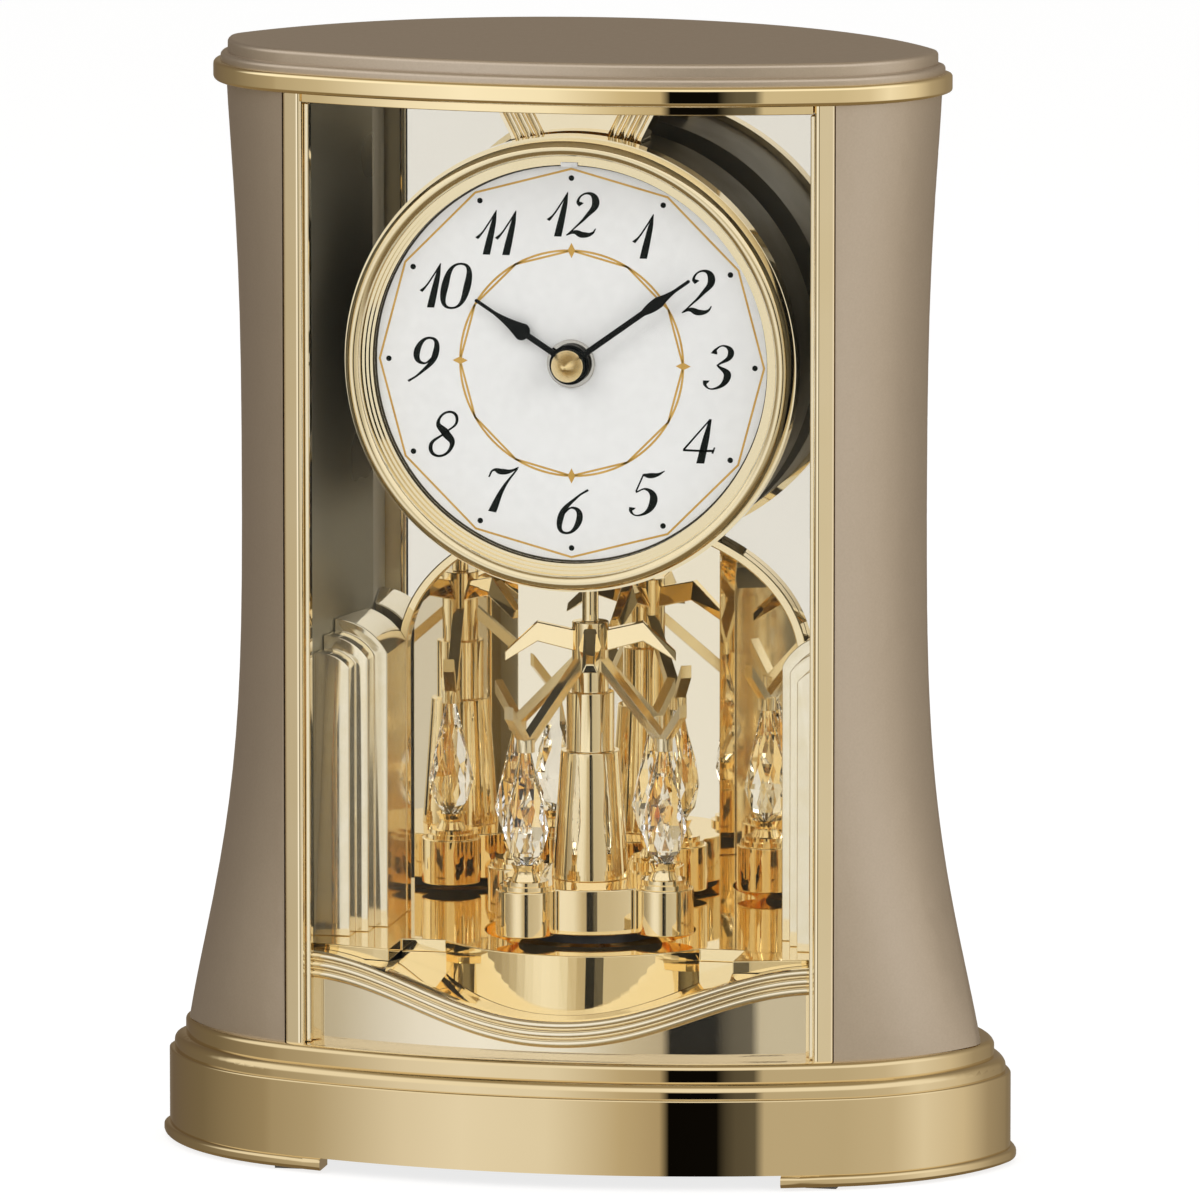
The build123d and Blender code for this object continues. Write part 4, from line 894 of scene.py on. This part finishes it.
# each stroke is a pen line of points: across, up and pen width, in shares of the numeral height
strokes = {
    "0": [("loop", [(0.28, 1.0, 0.045), (0.07, 0.5, 0.13), (0.28, 0.0, 0.045), (0.49, 0.5, 0.13)])],
    "1": [("line", [(0.34, 1.0, 0.02), (0.34, 0.76, 0.08), (0.34, 0.4, 0.115), (0.34, 0.0, 0.13)]),
          ("line", [(0.34, 0.97, 0.03), (0.25, 0.70, 0.032), (0.16, 0.47, 0.04), (0.09, 0.36, 0.07)])],
    "2": [("line", [(0.20, 0.72, 0.10), (0.12, 0.80, 0.05), (0.27, 0.985, 0.05), (0.46, 0.78, 0.13),
                    (0.34, 0.46, 0.07), (0.17, 0.2, 0.035), (0.05, 0.03, 0.03)]),
          ("line", [(0.05, 0.04, 0.03), (0.18, 0.11, 0.08), (0.36, 0.05, 0.12), (0.52, 0.09, 0.06),
                    (0.57, 0.2, 0.02)])],
    "3": [("line", [(0.13, 0.80, 0.12), (0.15, 0.90, 0.05), (0.29, 0.985, 0.04), (0.45, 0.79, 0.11),
                    (0.24, 0.54, 0.03)]),
          ("line", [(0.24, 0.55, 0.03), (0.48, 0.30, 0.13), (0.27, 0.015, 0.04), (0.10, 0.10, 0.05),
                    (0.10, 0.20, 0.12)])],
    "4": [("line", [(0.40, 1.0, 0.03), (0.22, 0.66, 0.035), (0.03, 0.30, 0.04)]),
          ("line", [(0.02, 0.29, 0.045), (0.30, 0.285, 0.045), (0.58, 0.29, 0.05)]),
          ("line", [(0.585, 0.23, 0.035), (0.60, 0.37, 0.03)]),
          ("line", [(0.40, 1.0, 0.05), (0.40, 0.6, 0.11), (0.40, 0.0, 0.14)])],
    "5": [("line", [(0.17, 0.93, 0.05), (0.30, 0.915, 0.11), (0.44, 0.945, 0.07), (0.55, 1.03, 0.02)]),
          ("line", [(0.17, 0.95, 0.03), (0.10, 0.55, 0.03)]),
          ("line", [(0.10, 0.53, 0.03), (0.28, 0.61, 0.05), (0.47, 0.32, 0.14), (0.26, 0.015, 0.04),
                    (0.09, 0.10, 0.05), (0.10, 0.19, 0.12)])],
    "6": [("line", [(0.50, 1.0, 0.05), (0.33, 0.84, 0.05), (0.10, 0.38, 0.115), (0.26, 0.015, 0.05),
                    (0.46, 0.31, 0.115), (0.29, 0.59, 0.05), (0.13, 0.44, 0.035)])],
    "7": [("line", [(0.05, 0.78, 0.03), (0.11, 0.94, 0.05), (0.26, 0.91, 0.12), (0.42, 0.92, 0.08),
                    (0.57, 1.02, 0.02)]),
          ("line", [(0.555, 0.99, 0.03), (0.37, 0.55, 0.07), (0.26, 0.0, 0.15)])],
    "8": [("loop", [(0.29, 1.0, 0.05), (0.11, 0.78, 0.06), (0.29, 0.53, 0.14), (0.47, 0.25, 0.08), (0.27, 0.0, 0.05),
                    (0.07, 0.23, 0.07), (0.28, 0.52, 0.04), (0.46, 0.79, 0.05)])],
}
strokes["9"] = [  # a six turned upside down
    (kind, [(0.56 - x, 1.0 - y, width) for x, y, width in points]) for kind, points in strokes["6"]
]
dialLow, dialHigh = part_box("dial_plate")
dialCentre = (dialLow + dialHigh) / 2
dialFrame = Matrix.Translation((dialCentre.x, dialLow.y, dialCentre.z)) @ Matrix.Rotation(quarterTurn, 4, "X")
dialAxis = Matrix.Translation((dialCentre.x, 0, dialCentre.z)) @ Matrix.Rotation(quarterTurn, 4, "X")


def strokeMesh(digit):
    curve = bpy.data.curves.new("penLine" + digit, "CURVE")
    curve.dimensions = "3D"
    curve.twist_mode = "Z_UP"
    curve.extrude = 0.5
    curve.resolution_u = dialPrint["penSteps"]
    for kind, points in strokes[digit]:
        spline = curve.splines.new("BEZIER")
        spline.bezier_points.add(len(points) - 1)
        spline.use_cyclic_u = kind == "loop"
        spline.radius_interpolation = "CARDINAL"
        for knot, (x, y, width) in zip(spline.bezier_points, points):
            knot.co = (x, y, 0)
            knot.handle_left_type = "AUTO"
            knot.handle_right_type = "AUTO"
            knot.radius = width * dialPrint["penWeight"]
            knot.tilt = quarterTurn
    holder = bpy.data.objects.new("penHolder", curve)
    bpy.context.scene.collection.objects.link(holder)
    bpy.context.view_layer.update()
    mesh = bpy.data.meshes.new_from_object(holder.evaluated_get(bpy.context.evaluated_depsgraph_get()))
    bpy.data.objects.remove(holder)
    bpy.data.curves.remove(curve)
    return mesh


def makeNumerals(finish):
    sheet = bmesh.new()
    digits = {digit: strokeMesh(digit) for digit in strokes}
    height = dialPrint["numeralHeight"] * mm
    halfAcross, halfUp = dialPrint["digitMiddle"]
    wide = Matrix.Diagonal((dialPrint["stretch"], 1, 1, 1))
    slant = Matrix.Identity(4)
    slant[0][1] = dialPrint["slant"]
    for hour in range(1, 13):
        angle = math.radians(hour * 30)
        ring = dialPrint["numeralRing"] * mm
        centre = Vector((ring * math.sin(angle), ring * math.cos(angle), dialPrint["thickness"] * mm))
        text = str(hour)
        gap = dialPrint["oneGap"] if text == "11" else dialPrint["digitGap"]
        span = gap * (len(text) - 1)
        for place, digit in enumerate(text):
            added = bmesh.new()
            added.from_mesh(digits[digit])
            shift = Matrix.Translation((place * gap - span / 2 - halfAcross, -halfUp, 0))
            spot = dialFrame @ Matrix.Translation(centre) @ Matrix.Scale(height, 4) @ slant @ wide @ shift
            bmesh.ops.transform(added, matrix=spot, verts=added.verts)
            joinShape(sheet, added)
    addPiece("dialNumerals", meshFrom(sheet, "dialNumerals"), finish, "case")


def ringLine(sheet, radius, segments, across):
    width = across * mm / 2
    lift = Matrix.Translation((0, 0, dialPrint["thickness"] * mm * dialPrint["lineLift"]))
    turn = Matrix.Rotation(quarterTurn, 4, "Z")
    loops = []
    for edge in (radius * mm - width, radius * mm + width):
        made = bmesh.ops.create_circle(sheet, segments=segments, radius=edge, matrix=dialFrame @ lift @ turn)
        loops += list({link for vert in made["verts"] for link in vert.link_edges})
    bmesh.ops.bridge_loops(sheet, edges=loops)


# a near-black ring of painted shade at the dial's edge, standing in for the shadow between dial and bezel
def makeGap(finish):
    shade = bmesh.new()
    inner, outer = dialPrint["paintedShadeRing"]
    ringLine(shade, (inner + outer) / 2, dialPrint["paintedShadeSides"], outer - inner)
    addPiece("dialPaintedShade", meshFrom(shade, "dialPaintedShade"), finish, "case")


def makeDialLines(gold, black):
    lines = bmesh.new()
    for radius, sides in (("outerRing", "lineSides"), ("innerRing", "lineSides"), ("innerRing", "circleSides")):
        ringLine(lines, dialPrint[radius], dialPrint[sides], dialPrint["lineWidth"])
    for quarter in range(4):
        length, width = dialPrint["lozenge"]
        turn = Matrix.Rotation(quarterTurn * quarter, 4, "Z")
        place = Matrix.Translation((0, dialPrint["innerRing"] * mm, dialPrint["thickness"] * mm))
        size = Matrix.Diagonal((width * mm, length * mm, 1, 1))
        bmesh.ops.create_circle(lines, cap_ends=True, segments=4, radius=0.5, matrix=dialFrame @ turn @ place @ size)
    addPiece("dialLines", meshFrom(lines, "dialLines"), gold, "case")
    dots = bmesh.new()
    for hour in range(12):
        turn = Matrix.Rotation(math.radians(30 * hour), 4, "Z")
        place = Matrix.Translation((0, dialPrint["dotRing"] * mm, dialPrint["thickness"] * mm))
        bmesh.ops.create_circle(dots, cap_ends=True, segments=dialPrint["dotSides"],
                                radius=dialPrint["dotRadius"] * mm, matrix=dialFrame @ turn @ place)
    addPiece("dialDots", meshFrom(dots, "dialDots"), black, "case")


bpy.context.scene.view_settings.view_transform = "Standard"
bpy.context.scene.cycles.max_bounces = 20  # the mirrors of the stage face each other
bpy.context.scene.cycles.glossy_bounces = 12
makeCamera()
makeRoom()
makeLamps()
makeFloor()
print("camera and studio ready")
finishes = {name: grainedFinish(name, look) for name, look in looks.items()}
finishes.update({name: clearFinish(name, look) for name, look in clearLooks.items()})
dressNodes(finishes)
makeMoulding("lidBand", finishes["polishedGold"])
makeMoulding("lidTop", finishes["taupePaint"])
makeBezel(finishes["bezelGold"])
makeCap(finishes["capGold"])
makeApron(finishes["apronGold"])
makeBars("stageRisers", riser, finishes["deepGold"])
makeWings(finishes["roomGold"])
makeBars("glazingStrips", strip, finishes["paleGold"])
# the black moulding finish on the crosses is painted shade for the screws' cross recesses
makeScrews(finishes["nutSteel"], finishes["blackMoulding"])
makeDoorRibs(finishes["backMoulding"])
print("case and pendulum dressed")
makeNumerals(finishes["inkBlack"])
makeDialLines(finishes["inkGold"], finishes["inkBlack"])
makeGap(finishes["paintedGapShade"])
makeTab(finishes["dialWhite"])
print("dial printed")
